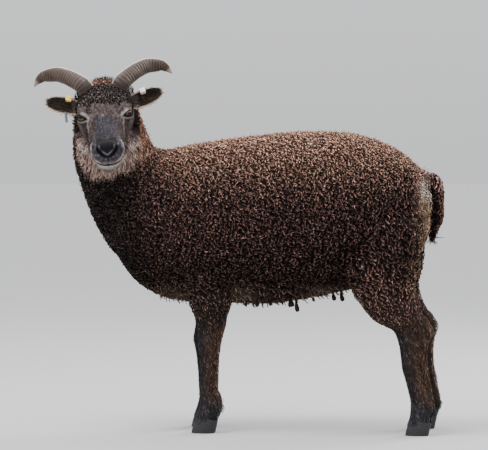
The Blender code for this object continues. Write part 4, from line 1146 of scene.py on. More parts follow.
def face_colour(points, nostril):
    """Colour of the face's hair from its place in the head's frame; nostril is the line of the right one."""
    bent = fold_sides(to_head(points))
    p = lower_muzzle(bent)
    x, y, z = p.T
    low = ramp(points[:, 2] + 0.008 * mottle(points, 0.010, 18), 0.594, 0.564)
    side = ramp(y, 0.100, 0.125) * ramp(y, 0.175, 0.150) * ramp(z, 0.014, 0.004) * ramp(z, -0.022, -0.010)
    tear, pale, lip_side = (near_path(p, path)[0] for path in FACE_LINES)
    colour = lay_over(FACE, (
        (BRIDGE, ramp(x, 0.027, 0.012) * ramp(y, 0.095, 0.130) * ramp(z, 0.012, 0.022)),
        (CHEEK, low * ramp(z, -0.010, -0.030) * ramp(y, 0.192, 0.165) * ramp(y, 0.020, 0.050)),
        (FACE_SIDE, side),
        (MUZZLE, ramp(y, 0.172, 0.186) * ramp(z, -0.022, -0.018)),
        (FOREHEAD, cap_share(p)),
        (POLL_RUST, ramp(y, 0.032, 0.012) * ramp(x, 0.040, 0.024) * ramp(z, -0.03, -0.01)),
        (TEAR_STRIPE, bell(tear, 0.0060) * 0.9),
        (PALE_LINE, bell(pale, 0.0022) * 0.60),
        (LIP_PALE, ramp(lip_side, 0.0062, 0.0022) * ramp(mottle(points, 0.004, 22), -1.5, 0.3) * 0.75),
    ))
    on_pad = nose_pad_share(p)
    speckle = np.exp(0.50 * mottle(points, 0.0036, 5) + 0.25 * mottle(points, 0.010, 6))
    colour *= blend(speckle[:, None], np.ones(1), on_pad)
    pad = NOSE_PAD * np.exp(0.30 * mottle(points, 0.0024, 23))[:, None]
    slit = near_path(p, nostril)[0]
    rim = near_path(p, np.array(nostril) + (-0.0036, 0.0, 0.0036))[0]
    philtrum = bell(x, 0.0020) * ramp(z, 0.001, -0.003) * ramp(y, 0.185, 0.195)
    mouth = mouth_height(y)
    grizzle = 0.62 + 0.38 * ramp(mottle(points, 0.003, 15), -0.6, 0.4)
    lower = ramp(y, 0.160, 0.176) * ramp(z, mouth - 0.0010, mouth - 0.0026) * ramp(z, -0.052, -0.040)
    upper = ramp(y, 0.160, 0.176) * bell(z - mouth - 0.0042, 0.0036) * (0.35 + 0.65 * ramp(x, 0.010, 0.022))
    between_lips = ramp(y, 0.162, 0.172) * ramp(np.abs(z - mouth), 0.0026, 0.0014) * ramp(x, 0.029, 0.025)
    return lay_over(paint_eye(colour, bent), (
        (pad, on_pad),
        # Painted highlight on the nostrils' rims.
        (NOSTRIL_RIM_HIGHLIGHT, bell(rim, 0.0016) * ramp(y, 0.178, 0.186) * 0.8),
        # The nostrils' insides, the philtrum and the cut between the lips are painted near black as the shade
        # in them.
        (HOLLOW_SHADE, ramp(slit, 0.0042, 0.0032)),
        (HOLLOW_SHADE, philtrum * ramp(z, -0.026, -0.022)),
        (LIP_PALE, lower * grizzle * 0.9),
        (LIP_PALE, upper * grizzle * 0.9),
        (HOLLOW_SHADE, between_lips),
    ))


def ear_colour(points, inner):
    """Colour of the ears' hair, paler along the rim and at the root of the cup."""
    p = to_head(points)
    colour = np.zeros((len(p), 3))
    for side, _ in SIDES:
        here = np.sign(p[:, 0]) == side
        along, across, _ = (np.array(way) for way in ear_frame(side))
        local = p[here] - np.array(mirrored(EAR_ROOT, side))
        share = np.clip(local @ along / EAR_LENGTH, 0, 1)
        sideways = local @ across / np.maximum(read_stations(EAR, share)[:, 0], 1e-4)
        rim = ramp(-sideways, 0.84, 0.96) + 0.4 * ramp(sideways, 0.88, 1.0)
        rim = np.maximum(rim, ramp(share, 0.95, 1.0))
        tint = lay_over(EAR_BACK, (
            (EAR_INSIDE, inner[here]),
            (PALE_LINE, inner[here] * ramp(share, 0.38, 0.10) * 0.7),
        ))
        tint = tint * np.exp(0.60 * mottle(points[here], 0.0040, 19))[:, None]
        colour[here] = blend(tint, EAR_RIM, rim * 0.9)
    return colour


# Surfaces and tufts


def sample_skin(item, spacing, rng, crowd=5.0):
    """Points set at about this spacing all over an object's skin, with smooth normals."""
    mesh = item.data
    mesh.calc_loop_triangles()
    corner = np.empty(len(mesh.loop_triangles) * 3, np.int32)
    mesh.loop_triangles.foreach_get("vertices", corner)
    corner = corner.reshape(-1, 3)
    co, no = coordinates(mesh), vertex_normals(mesh)
    a, b, c = (co[corner[:, i]] for i in range(3))
    areas = np.linalg.norm(np.cross(b - a, c - a), axis=1) / 2
    count = int(crowd * areas.sum() / (0.866 * spacing**2))
    pick = rng.choice(len(areas), count, p=areas / areas.sum())
    u, v = np.sqrt(rng.random(count)), rng.random(count)
    weights = np.stack([1 - u, u * (1 - v), u * v], axis=1)
    points = np.einsum("ij,ijk->ik", weights, co[corner[pick]])
    normals = np.einsum("ij,ijk->ik", weights, no[corner[pick]])
    normals /= np.linalg.norm(normals, axis=1)[:, None]
    tree = KDTree(count)
    for i, point in enumerate(points):
        tree.insert(point, i)
    tree.balance()
    free = np.ones(count, bool)
    kept = []
    for i in range(count):
        if free[i]:
            kept.append(i)
            for _, j, _ in tree.find_range(points[i], spacing * 0.80):
                free[j] = False
    return points[kept], normals[kept]


def inside(points, tree, margin=0.0):
    """Which of the points lie inside a closed mesh, or within a margin of it."""
    found = np.zeros(len(points), bool)
    for i, point in enumerate(points):
        near, normal, *_ = tree.find_nearest(Vector(point), 0.05)
        if near is not None:
            found[i] = (Vector(point) - near).dot(normal) < margin
    return found


def tangent_lie(normals, direction):
    """The direction laid along the skin: one for all of the places, or one for each."""
    direction = np.broadcast_to(direction, normals.shape)
    lie = direction - normals * np.einsum("ij,ij->i", normals, direction)[:, None]
    size = np.linalg.norm(lie, axis=1)
    lie[size < 1e-3] = np.array((1.0, 0, 0))
    lie -= normals * np.einsum("ij,ij->i", normals, lie)[:, None]
    return lie / np.linalg.norm(lie, axis=1)[:, None]


def turn_about(normals, lie, angle):
    side = np.cross(normals, lie)
    return lie * np.cos(angle)[:, None] + side * np.sin(angle)[:, None]


def box_unwrap(points, normals):
    """An unwrap of the skin in six charts, one for each way that it faces."""
    axis = np.argmax(np.abs(normals), axis=1)
    chart = axis * 2 + (normals[np.arange(len(points)), axis] > 0)
    uv = np.zeros((len(points), 2))
    for k in range(6):
        here = chart == k
        if not here.any():
            continue
        flat = np.delete(points[here], k // 2, axis=1)
        low, size = flat.min(axis=0), np.ptp(flat, axis=0)
        uv[here] = (flat - low) / np.maximum(size, 0.02)
        cell = np.array((k % 3, k // 3)) / np.array((3, 2))
        uv[here] = cell + 0.01 + uv[here] * (np.array((1 / 3, 1 / 2)) - 0.02)
    return uv


def grow_tufts(name, roots, normals, lie, look, colour, rng):
    """Tapered tufts, each a thin bent tube from its root to a point, all in one mesh.

    look gives for every tuft its length along the skin, lift off it, half width, curl and turns, and for
    all of them the number of rings and sides, how flat they are and how dark the root is.
    """
    count = len(roots)
    rings, sides = look.get("rings", 5), look.get("sides", 3)

    def spread(key, default=0.0, vary=0.0):
        value = np.broadcast_to(np.asarray(look.get(key, default), float), (count,))
        return value * (1 + vary * rng.uniform(-1, 1, count))

    vary = look.get("vary", 0.22)
    length = spread("length", vary=vary)[:, None]
    lift = spread("lift", vary=look.get("lift_vary", 0.12))[:, None]
    width = spread("width", vary=vary)[:, None]
    curl = spread("curl", vary=vary)[:, None]
    turns = spread("turns", 1.0, 0.25)[:, None] * rng.choice((-1, 1), count)[:, None]
    phase = rng.uniform(0, 2 * math.pi, count)[:, None]
    lie = turn_about(normals, lie, rng.normal(0, look.get("stray", 0.25), count))
    side = np.cross(normals, lie)
    t = np.linspace(0, 1, rings + 1)[None]
    rise = look.get("rise", 0.5)
    sag = look.get("droop", 0.2) * ((t - rise) / (1 - rise)) ** 2
    height = np.where(t < rise, 1 - (1 - t / rise) ** 2, 1 - sag)
    start = look.get("start", 0.0)
    along = np.clip((t - start) / (1 - start), 0, 1) ** look.get("ease", 1.0)
    open_up = ramp(t, 0.1, 0.55)
    wave = phase + 2 * math.pi * turns * t
    a = length * along + 0.35 * curl * open_up * np.cos(wave)
    b = curl * open_up * np.sin(wave)
    h = lift * height - look.get("root_depth", 0.0010) + 0.45 * curl * open_up * np.cos(wave + 0.8)
    path = roots[:, None] + a[..., None] * lie[:, None]
    path = path + b[..., None] * side[:, None] + h[..., None] * normals[:, None]
    tangent = np.gradient(path, axis=1)
    tangent /= np.linalg.norm(tangent, axis=2, keepdims=True) + 1e-9
    out = np.cross(side[:, None], tangent)
    out /= np.linalg.norm(out, axis=2, keepdims=True) + 1e-9
    across = np.cross(tangent, out)
    shape = np.array(look.get("taper", (0.7, 1.0, 1.0, 0.8, 0.5)))
    shape = np.interp(np.linspace(0, 1, rings), np.linspace(0, 1, len(shape)), shape)
    radius = width * shape[None]
    angles = 2 * math.pi * np.arange(sides) / sides + math.pi / 2
    ring = across[:, :rings, None] * np.cos(angles)[:, None]
    ring = ring + out[:, :rings, None] * (np.sin(angles) * look.get("flat", 0.75))[:, None]
    tube_points = path[:, :rings, None] + ring * radius[:, :, None, None]
    per_tuft = rings * sides + 1
    vertices = np.concatenate([tube_points.reshape(count, -1, 3), path[:, rings:]], axis=1).reshape(-1, 3)

    faces = []
    for k in range(rings - 1):
        for j in range(sides):
            a0, a1 = k * sides + j, k * sides + (j + 1) % sides
            faces += [(a0, a1, a1 + sides), (a0, a1 + sides, a0 + sides)]
    for j in range(sides):
        faces.append(((rings - 1) * sides + j, (rings - 1) * sides + (j + 1) % sides, rings * sides))
    faces = (np.array(faces)[None] + (np.arange(count) * per_tuft)[:, None, None]).reshape(-1, 3)

    depth = np.concatenate([np.repeat(t[0, :rings], sides), [1.0]])
    # Each tuft is painted darker towards its root, as the shade down among the tufts.
    root_shade = spread("root_shade", 0.12)[:, None]
    lit = ramp(depth, look.get("dark_to", 0.15), look.get("light_from", 0.7))
    shade = root_shade + (1 - root_shade) * lit[None]
    tone = np.exp(rng.normal(0, look.get("tone", 0.22), count))
    tint = (colour * tone[:, None])[:, None] * shade[..., None]

    around, outward = np.tile(np.arange(sides), rings) / sides, np.repeat(np.arange(rings), sides) / rings
    patch = np.concatenate([np.stack([around, outward], axis=1), [(0.5, 1.0)]]) - 0.5
    uv = np.clip(box_unwrap(roots, normals)[:, None] + patch[None] * BAKE_PATCH, 0.001, 0.999)
    return mesh_from_arrays(name, vertices, faces, tint.reshape(-1, 3), uv.reshape(-1, 2))


def mesh_from_arrays(name, vertices, faces, colour, uv):
    mesh = bpy.data.meshes.new(name)
    mesh.vertices.add(len(vertices))
    mesh.vertices.foreach_set("co", vertices.astype(np.float32).ravel())
    mesh.loops.add(faces.size)
    mesh.loops.foreach_set("vertex_index", faces.astype(np.int32).ravel())
    mesh.polygons.add(len(faces))
    mesh.polygons.foreach_set("loop_start", np.arange(0, faces.size, 3, dtype=np.int32))
    mesh.update(calc_edges=True)
    paint(mesh, colour)
    layer = mesh.uv_layers.new(name="OFBake")
    layer.uv.foreach_set("vector", uv[faces.ravel()].astype(np.float32).ravel())
    mesh.shade_smooth()
    return new_object(name, mesh)


def paint(mesh, colour):
    """Keeps a colour at every vertex, which the material reads."""
    layer = mesh.color_attributes.new("coat", "FLOAT_COLOR", "POINT")
    data = np.ones((len(mesh.vertices), 4), np.float32)
    data[:, :3] = np.clip(colour, 0, 1)
    layer.data.foreach_set("color", data.ravel())


# Materials


def make_material(name):
    material = bpy.data.materials.new(name)
    material.use_nodes = True
    return material, material.node_tree, material.node_tree.nodes["Principled BSDF"]


def add_node(tree, kind, **settings):
    node = tree.nodes.new(kind)
    for key, value in settings.items():
        setattr(node, key, value)
    return node


def noise_node(tree, scale, detail, stretch=(1, 1, 1)):
    place = add_node(tree, "ShaderNodeMapping")
    place.inputs["Scale"].default_value = stretch
    tree.links.new(add_node(tree, "ShaderNodeTexCoord").outputs["Object"], place.inputs["Vector"])
    noise = add_node(tree, "ShaderNodeTexNoise")
    noise.inputs["Scale"].default_value = scale
    noise.inputs["Detail"].default_value = detail
    tree.links.new(place.outputs["Vector"], noise.inputs["Vector"])
    return noise.outputs["Fac"]


def remap(tree, value, low, high):
    node = add_node(tree, "ShaderNodeMapRange")
    node.inputs["From Min"].default_value = 0.3
    node.inputs["From Max"].default_value = 0.7
    node.inputs["To Min"].default_value = low
    node.inputs["To Max"].default_value = high
    tree.links.new(value, node.inputs["Value"])
    return node.outputs["Result"]


def scaled_colour(tree, colour, factor):
    node = add_node(tree, "ShaderNodeVectorMath", operation="SCALE")
    tree.links.new(colour, node.inputs[0])
    tree.links.new(factor, node.inputs["Scale"])
    return node.outputs["Vector"]


def add_bump(tree, shader, height, strength, distance):
    bump = add_node(tree, "ShaderNodeBump")
    bump.inputs["Strength"].default_value = strength
    bump.inputs["Distance"].default_value = distance
    tree.links.new(height, bump.inputs["Height"])
    tree.links.new(bump.outputs["Normal"], shader.inputs["Normal"])


def coat_material(name, roughness, low, high, scale, bump_strength, bump_distance, gloss, stretch=(1, 1, 1)):
    """Hair, wool or horn: the painted colour broken up by fine noise, with roughness and bump from it."""
    material, tree, shader = make_material(name)
    attribute = add_node(tree, "ShaderNodeAttribute", attribute_name="coat")
    fine = noise_node(tree, scale, 4.0, stretch)
    colour = scaled_colour(tree, attribute.outputs["Color"], remap(tree, fine, low, high))
    tree.links.new(colour, shader.inputs["Base Color"])
    tree.links.new(remap(tree, fine, roughness + 0.08, roughness - 0.08), shader.inputs["Roughness"])
    add_bump(tree, shader, fine, bump_strength, bump_distance)
    shader.inputs["Specular IOR Level"].default_value = gloss
    return material


def eye_material(name):
    material, tree, shader = make_material(name)
    attribute = add_node(tree, "ShaderNodeAttribute", attribute_name="coat")
    fine = noise_node(tree, 1200, 3.0)
    colour = scaled_colour(tree, attribute.outputs["Color"], remap(tree, fine, 0.8, 1.2))
    tree.links.new(colour, shader.inputs["Base Color"])
    tree.links.new(remap(tree, fine, 0.10, 0.05), shader.inputs["Roughness"])
    shader.inputs["Coat Weight"].default_value = 0.25
    shader.inputs["Coat Roughness"].default_value = 0.02
    shader.inputs["Specular IOR Level"].default_value = 0.12
    add_bump(tree, shader, fine, 0.05, 0.0001)
    return material


def plastic_material(name, colour):
    """Moulded ear tag: worn and dusty in places, with a fine grain."""
    material, tree, shader = make_material(name)
    dust = noise_node(tree, 90, 5.0)
    grain = noise_node(tree, 1500, 2.0)
    base = add_node(tree, "ShaderNodeRGB")
    base.outputs[0].default_value = (*colour, 1.0)
    worn = scaled_colour(tree, base.outputs[0], remap(tree, dust, 0.72, 1.12))
    tree.links.new(worn, shader.inputs["Base Color"])
    tree.links.new(remap(tree, dust, 0.55, 0.32), shader.inputs["Roughness"])
    add_bump(tree, shader, grain, 0.25, 0.0002)
    return material


# Building


def dress(item, material, slot, *nodes):
    """Gives a finished piece its material, places it over the solids and hides the solids that it stands for.
    """
    item.data.materials.clear()
    item.data.materials.append(material)
    item.data.transform(Matrix.Translation(CENTRE))
    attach(item, "root")
    if nodes:
        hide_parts(*nodes)


def tree_of(item):
    return BVHTree.FromObject(item, bpy.context.evaluated_depsgraph_get())


def in_the_open(points, normals, tree, reach):
    """Which of the points have nothing of their own skin close before them, as inside a mouth or a socket."""
    found = np.ones(len(points), bool)
    for i, (point, normal) in enumerate(zip(points, normals)):
        normal = Vector(normal)
        found[i] = tree.ray_cast(Vector(point) + normal * 0.0004, normal, reach)[0] is None
    return found


def chosen(look, mask):
    """A look's values for the chosen tufts only."""
    picked = {}
    for key, value in look.items():
        each = isinstance(value, np.ndarray) and value.shape == mask.shape
        picked[key] = value[mask] if each else value
    return picked


def coat_piece(name, roots, normals, lie, look, colour, material, slot, mask=None):
    """One piece of the coat, from all of the roots or from those in the mask."""
    if mask is not None:
        roots, normals, lie, colour = roots[mask], normals[mask], lie[mask], colour[mask]
        look = chosen(look, mask)
    dress(grow_tufts(name, roots, normals, lie, look, colour, rng), material, slot)


def near_face(points):
    """How far a place on the neck belongs to the pale ruff under the jaw."""
    reach = np.linalg.norm((points - np.array(THROAT_MIDDLE)) / THROAT_REACH, axis=1)
    return ramp(reach + 0.10 * mottle(points, 0.012, 12), 1.12, 0.82)


def ruff_lie(points, normals):
    """Hair of the ruff runs out and down from the middle of the face."""
    away = (points - np.array(FACE_MIDDLE)) * (1.0, 0.0, 1.0)
    away /= np.linalg.norm(away, axis=1)[:, None] + 1e-9
    return tangent_lie(normals, away - np.array((0.0, 0.0, 0.35)))


def area_light(name, place, size, power):
    data = bpy.data.lights.new(name, "AREA")
    data.shape = "DISK"
    data.size = size
    data.energy = power
    light = bpy.data.objects.new(name, data)
    light.location = place
    light.rotation_mode = "QUATERNION"
    light.rotation_quaternion = (LIGHT_AIM - Vector(place)).to_track_quat("-Z", "Y")
    bpy.context.scene.collection.objects.link(light)


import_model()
rng = np.random.default_rng(11)

wool = coat_material("curly_wool", 0.88, 0.66, 1.34, 900, 0.6, 0.0007, 0.12)
hair = coat_material("short_hair", 0.78, 0.58, 1.42, 650, 0.8, 0.0009, 0.20)
horn_sheath = coat_material("horn_sheath", 0.52, 0.72, 1.24, 420, 0.6, 0.0005, 0.28)
hoof_wall = coat_material("hoof_wall", 0.55, 0.60, 1.40, 260, 0.6, 0.0005, 0.4, (1, 1, 3))
eye_wet = eye_material("wet_eye")

body = merge_soft([trunk_loft(), neck_loft(), tail_loft()], BODY_VOXEL, 6)
leg_parts = []
for leg in LEGS.values():
    leg_parts += leg_pieces(*leg)
legs = merge_soft(leg_parts, LEG_VOXEL, 5, LEG_TRIANGLES)
head, nostril = build_head()
ears = make_collection("ears")
for side, _ in SIDES:
    build_ear(side, ears)
ear_trees = [tree_of(ear) for ear in ears.objects]
body_tree, legs_tree, head_tree = tree_of(body), tree_of(legs), tree_of(head)

# Fleece of the trunk, neck and tail
roots, normals = sample_skin(body, SPACING["wool"], rng)
in_head = (roots[:, 2] > 0.52) & (roots[:, 0] < -0.12) & inside(roots, head_tree)
hidden = inside(roots, legs_tree, -SEAM_DEPTH) | in_head
roots, normals = roots[~hidden], normals[~hidden]
on_tail = tail_share(roots) > 0.5
phase = row_phase(roots)
roots[:, 0] -= 0.42 * ROW_SPACING * (phase - np.round(phase)) * row_share(roots)
x, y, z = roots.T
around_face = near_face(roots)
colour = blend(body_colour(roots, normals), THROAT, around_face)
lie = tangent_lie(normals, HANG)
top = ramp(normals[:, 2], 0.2, 0.9)
rows = parting_share(roots)
straight = straight_share(roots)
belly = ramp(normals[:, 2], -0.55, -0.95) * (x > -0.10)
throat_lift = 0.0040 * ramp(x, -0.284, -0.300) * ramp(z, 0.49, 0.52)
dock_drop = 0.0045 * ramp(x, 0.340, 0.362) * ramp(z, 0.46, 0.49)
# Roots are painted lighter on locks that face up, as painted light from above.
wool_look = {
    "length": 0.0068 - 0.0025 * top + 0.004 * belly + 0.005 * straight,
    "lift": 0.0112 + 0.0010 * rows + throat_lift - dock_drop,
    "width": 0.00120 - 0.0005 * straight, "curl": (0.0021 + 0.0006 * top) * (1 - 0.8 * straight),
    "stray": 0.45, "rise": 0.5, "droop": 0.25, "start": 0.15,
    "root_shade": 0.015 + 0.12 * top + 0.45 * soft_share(roots),
    "taper": (0.6, 0.9, 1.0, 1.05, 1.0, 0.65), "flat": 0.9, "tone": 0.38, "dark_to": 0.48, "light_from": 0.92,
}
left = y < 0
for name, low, high in FLEECE_PARTS:
    for word, half in (("left", left), ("right", ~left)):
        mask = (x >= low) & (x < high) & half & ~on_tail & (around_face < 0.5)
        piece = "fleece_%s_%s" % (name, word)
        coat_piece(piece, roots, normals, lie, wool_look, colour, wool, "fleece", mask)

roots, normals = sample_skin(body, SPACING["tail"], rng)
keep = tail_share(roots) > 0.5
roots, normals = roots[keep], normals[keep]
tail_look = {
    "rings": 6, "length": 0.011 + 0.013 * ramp(roots[:, 2], 0.410, 0.385),
    "lift": 0.0058 + 0.0050 * ramp(roots[:, 2], 0.460, 0.495), "width": 0.0013, "curl": 0.0018, "turns": 0.9,
    "stray": 0.35, "rise": 0.45, "droop": 0.35, "root_shade": 0.05, "flat": 0.8, "tone": 0.45,
    "dark_to": 0.35,
}
lie = tangent_lie(normals, np.array((0.10, 0.0, -1.0)) + normals * (0, 0.4, 0))
coat_piece("tail_locks", roots, normals, lie, tail_look, body_colour(roots, normals), wool, "fleece")

# Loose fibres over the fleece, and the uneven locks that hang from the belly
roots, normals = sample_skin(body, SPACING["wisps"], rng)
keep = (normals[:, 2] > -0.3) & (tail_share(roots) < 0.5)
keep &= ~inside(roots, head_tree, 0.004) & (near_face(roots) < 0.3)
roots, normals = roots[keep], normals[keep]
wisp_look = {
    "rings": 4, "length": 0.0090, "lift": 0.0145, "lift_vary": 0.25, "width": 0.00036, "curl": 0.0026,
    "turns": 0.7, "stray": 1.2, "rise": 0.7, "droop": 0.1, "root_shade": 0.1, "flat": 0.9, "tone": 0.35,
    "dark_to": 0.4,
}
lie = tangent_lie(normals, HANG)
# Fibres are paler where the skin faces up, partly bleached and partly painted light from above.
colour = blend(body_colour(roots, normals), WISP, 0.45 * ramp(normals[:, 2], -0.2, 0.6))
coat_piece("back_wisps", roots, normals, lie, wisp_look, colour, wool, "fleece")

roots, normals = sample_skin(body, SPACING["belly"], rng)
x, _, z = roots.T
keep = (normals[:, 2] < -0.35) & (x > -0.16) & (x < 0.23) & (z < 0.30) & ~inside(roots, legs_tree, 0.003)
roots, normals = roots[keep], normals[keep]
fringe = 0.3 + 0.7 * rng.random(len(roots)) ** 2.5
belly_look = {
    "rings": 6, "length": 0.0090, "lift": 0.0100 + 0.0110 * fringe, "width": 0.0007 + 0.0008 * fringe,
    "curl": 0.0014, "turns": 0.8, "stray": 0.6, "rise": 0.8, "droop": 0.1, "root_shade": 0.15, "flat": 0.8,
    "tone": 0.45,
}
lie = tangent_lie(normals, (0.8, 0.0, -0.3))
colour = body_colour(roots, normals) * (1.5 - fringe)[:, None]
coat_piece("belly_locks", roots, normals, lie, belly_look, colour, wool, "fleece")
clot_x, clot_y, clot_drop, clot_width = np.array(BELLY_CLOTS).T
picked = []
for spot in zip(clot_x, clot_y):
    picked.append(np.argmin(np.linalg.norm(roots - (*spot, roots[:, 2].mean()), axis=1)))
clot_look = {
    "rings": 9, "sides": 6, "length": 0.0030, "lift": clot_drop, "lift_vary": 0.0, "width": clot_width,
    "vary": 0.0, "curl": 0.0012, "turns": 0.6, "stray": 0.2, "rise": 1.0, "droop": 0.0, "root_shade": 1.0,
    "taper": (0.25, 0.25, 0.3, 0.7, 1.0, 1.0, 0.8, 0.5), "flat": 0.9, "tone": 0.2,
}
roots, normals, lie = roots[picked], normals[picked], lie[picked]
colour = np.tile(TAIL_DARK * 0.7, (len(picked), 1))
coat_piece("belly_clots", roots, normals, lie, clot_look, colour, wool, "fleece")

# Wool on the thighs and upper legs, and short hair below it
roots, normals = sample_skin(legs, SPACING["leg_wool"], rng)
x, _, z = roots.T
wool_edge = np.where(x < LEGS_PART, 0.196, 0.190 + 0.024 * ramp(x, 0.32, 0.36))
keep = (z > wool_edge + 0.022 * rng.random(len(roots))) & ~inside(roots, body_tree, -SEAM_DEPTH)
roots, normals, wool_edge = roots[keep], normals[keep], wool_edge[keep]
x, _, z = roots.T
fore = x < LEGS_PART
foot = np.where(fore, FLEECE_FOOT_FORE, FLEECE_FOOT_HIND)
woolly = ramp(z, foot - 0.022, foot + 0.020)
low_curl = ramp(z, wool_edge, foot)
leg_wool_look = {
    "rings": 6, "length": 0.0078 + 0.0022 * low_curl, "lift": 0.0022 + 0.0020 * low_curl + 0.0078 * woolly,
    "width": 0.0010 + 0.0003 * woolly, "curl": 0.0010 + 0.0010 * woolly, "turns": 0.9, "stray": 0.35,
    "rise": 0.5, "droop": 0.35, "root_shade": 0.06, "taper": (0.6, 0.9, 1.0, 1.0, 0.9, 0.5), "flat": 0.85,
    "tone": 0.42, "dark_to": 0.40, "light_from": 0.90,
}
lie = tangent_lie(normals, HANG)
colour = blend(leg_colour(roots, normals), body_colour(roots, normals), ramp(z, wool_edge, wool_edge + 0.045))
for word, mask in (("fore", fore), ("hind", ~fore)):
    coat_piece("leg_wool_" + word, roots, normals, lie, leg_wool_look, colour, wool, "leg_hair", mask)

roots, normals = sample_skin(legs, SPACING["leg_hair"], rng)
x, _, z = roots.T
keep = (z < np.where(x < LEGS_PART, 0.225, 0.235)) & (z > HAIR_FOOT)
roots, normals = roots[keep], normals[keep]
x, _, z = roots.T
fore = x < LEGS_PART
behind = ramp(normals[:, 0], 0.2, 0.8)
shaggy = np.where(fore, 0.55, 1.0) * behind * ramp(z, 0.06, 0.12) + behind * ramp(z, 0.085, 0.060) * 0.6
leg_look = {
    "rings": 4, "length": 0.0085 + 0.0060 * shaggy, "lift": 0.0021 + 0.0036 * shaggy, "width": 0.00066,
    "curl": 0.0006, "turns": 0.6, "stray": 0.35, "rise": 0.6, "droop": 0.2, "root_shade": 0.10, "flat": 0.6,
    "tone": 0.55, "dark_to": 0.3, "light_from": 0.9,
}
lie = tangent_lie(normals, (0.30, 0.0, -1.0))
colour = leg_colour(roots, normals) * 1.45
for word, mask in (("fore", fore), ("hind", ~fore)):
    coat_piece("leg_fur_" + word, roots, normals, lie, leg_look, colour, hair, "leg_hair", mask)

# Head: short hair on the face, curls on the poll, a ruff on the cheeks and throat
roots, normals = sample_skin(head, SPACING["face"], rng)
keep = in_the_open(roots, normals, head_tree, 0.006) & ~inside(roots, body_tree, 0.004)
roots, normals = roots[keep], normals[keep]
colour = face_colour(roots, nostril)
bent = to_head(roots)
place = fold_sides(lower_muzzle(bent))
_, hy, hz = place.T
to_eye = np.linalg.norm(fold_sides(bent) - np.array(EYE_CENTRE), axis=1)
open_eye = to_eye > EYE_RADIUS + 0.0012
pad = nose_pad_share(place) > 0.4
curly = cap_share(place)
ruff = ramp(hz, -0.006, -0.024) * ramp(hy, 0.172, 0.150)
size = 0.45 + 0.55 * ramp(np.minimum(to_eye - 0.015, 0.206 - hy), 0.0, 0.025)
chin = ramp(hz, -0.024, -0.034) * ramp(hy, 0.150, 0.162)
down = np.maximum(ruff, chin)[:, None]
outward = np.sign(bent[:, 0])[:, None]
toward_poll = outward * (0.15, 0, 0) + (0, -1.0, -0.35)
toward_ground = outward * (0.3, 0, 0) + (0, -0.45, -1.0)
toward = toward_poll * (1 - down) + toward_ground * down
lie = tangent_lie(normals, toward @ HEAD_TURNED.T)
face_look = {
    "rings": 3, "length": 0.0056 * size + 0.0020 * chin, "lift": 0.0017 * size + 0.0030 * chin,
    "width": 0.00056 * (0.5 + 0.5 * size), "curl": 0.0003, "stray": 0.40, "rise": 0.6, "droop": 0.2,
    "root_shade": 0.30, "flat": 0.6, "tone": 0.45,
}
mask = open_eye & ~pad & (curly < 0.85) & (ruff < 0.8)
coat_piece("face_fur", roots, normals, lie, face_look, colour, hair, "face_hair", mask)

thin = rng.random(len(roots)) < 0.60
rust = ramp(hy, 0.034, 0.014)
curl_look = {
    "rings": 6, "length": 0.0040 + 0.0014 * curly, "lift": (0.0024 + 0.0018 * curly) * (1 - 0.35 * rust),
    "width": 0.00066 + 0.00020 * curly, "curl": 0.0008 + 0.0005 * curly, "turns": 1.1, "stray": 0.9,
    "rise": 0.5, "droop": 0.35, "root_shade": 0.03 + 0.12 * rust, "taper": (0.6, 1.0, 1.0, 0.9, 0.6),
    "flat": 0.8, "tone": 0.55, "dark_to": 0.40, "light_from": 0.90,
}
mask = open_eye & thin & (curly > 0.02 + 0.9 * rng.random(len(roots)) ** 0.8)
coat_piece("poll_curls", roots, normals, lie, curl_look, colour, wool, "face_hair", mask)

mask = open_eye & thin & (ruff > 0.25 + 0.4 * rng.random(len(roots)))
short = ramp(ruff[mask], 0.3, 0.9)
jaw_roots, jaw_normals, jaw_colour = roots[mask], normals[mask], colour[mask]
roots, normals = sample_skin(body, SPACING["ruff"], rng)
around_face = near_face(roots)
keep = (around_face > 0.35 + 0.3 * rng.random(len(roots))) & ~inside(roots, head_tree)
roots, normals = roots[keep], normals[keep]
short = np.concatenate([short, np.ones(len(roots))])
colour = np.concatenate([jaw_colour, blend(body_colour(roots, normals), THROAT, around_face[keep])])
roots, normals = np.concatenate([jaw_roots, roots]), np.concatenate([jaw_normals, normals])
outer = ramp(np.abs(to_head(roots)[:, 0]), 0.030, 0.050)
ruff_look = {
    "length": 0.0060 + (0.0080 + 0.0030 * outer) * short, "lift": 0.0022 + (0.0045 + 0.0045 * outer) * short,
    "width": 0.00075, "curl": 0.0008, "turns": 0.6, "stray": 0.28,
    "rise": 0.6, "droop": 0.10, "root_shade": 0.30, "flat": 0.6, "tone": 0.30,
}
coat_piece("cheek_ruff", roots, normals, ruff_lie(roots, normals), ruff_look, colour, wool, "face_hair")

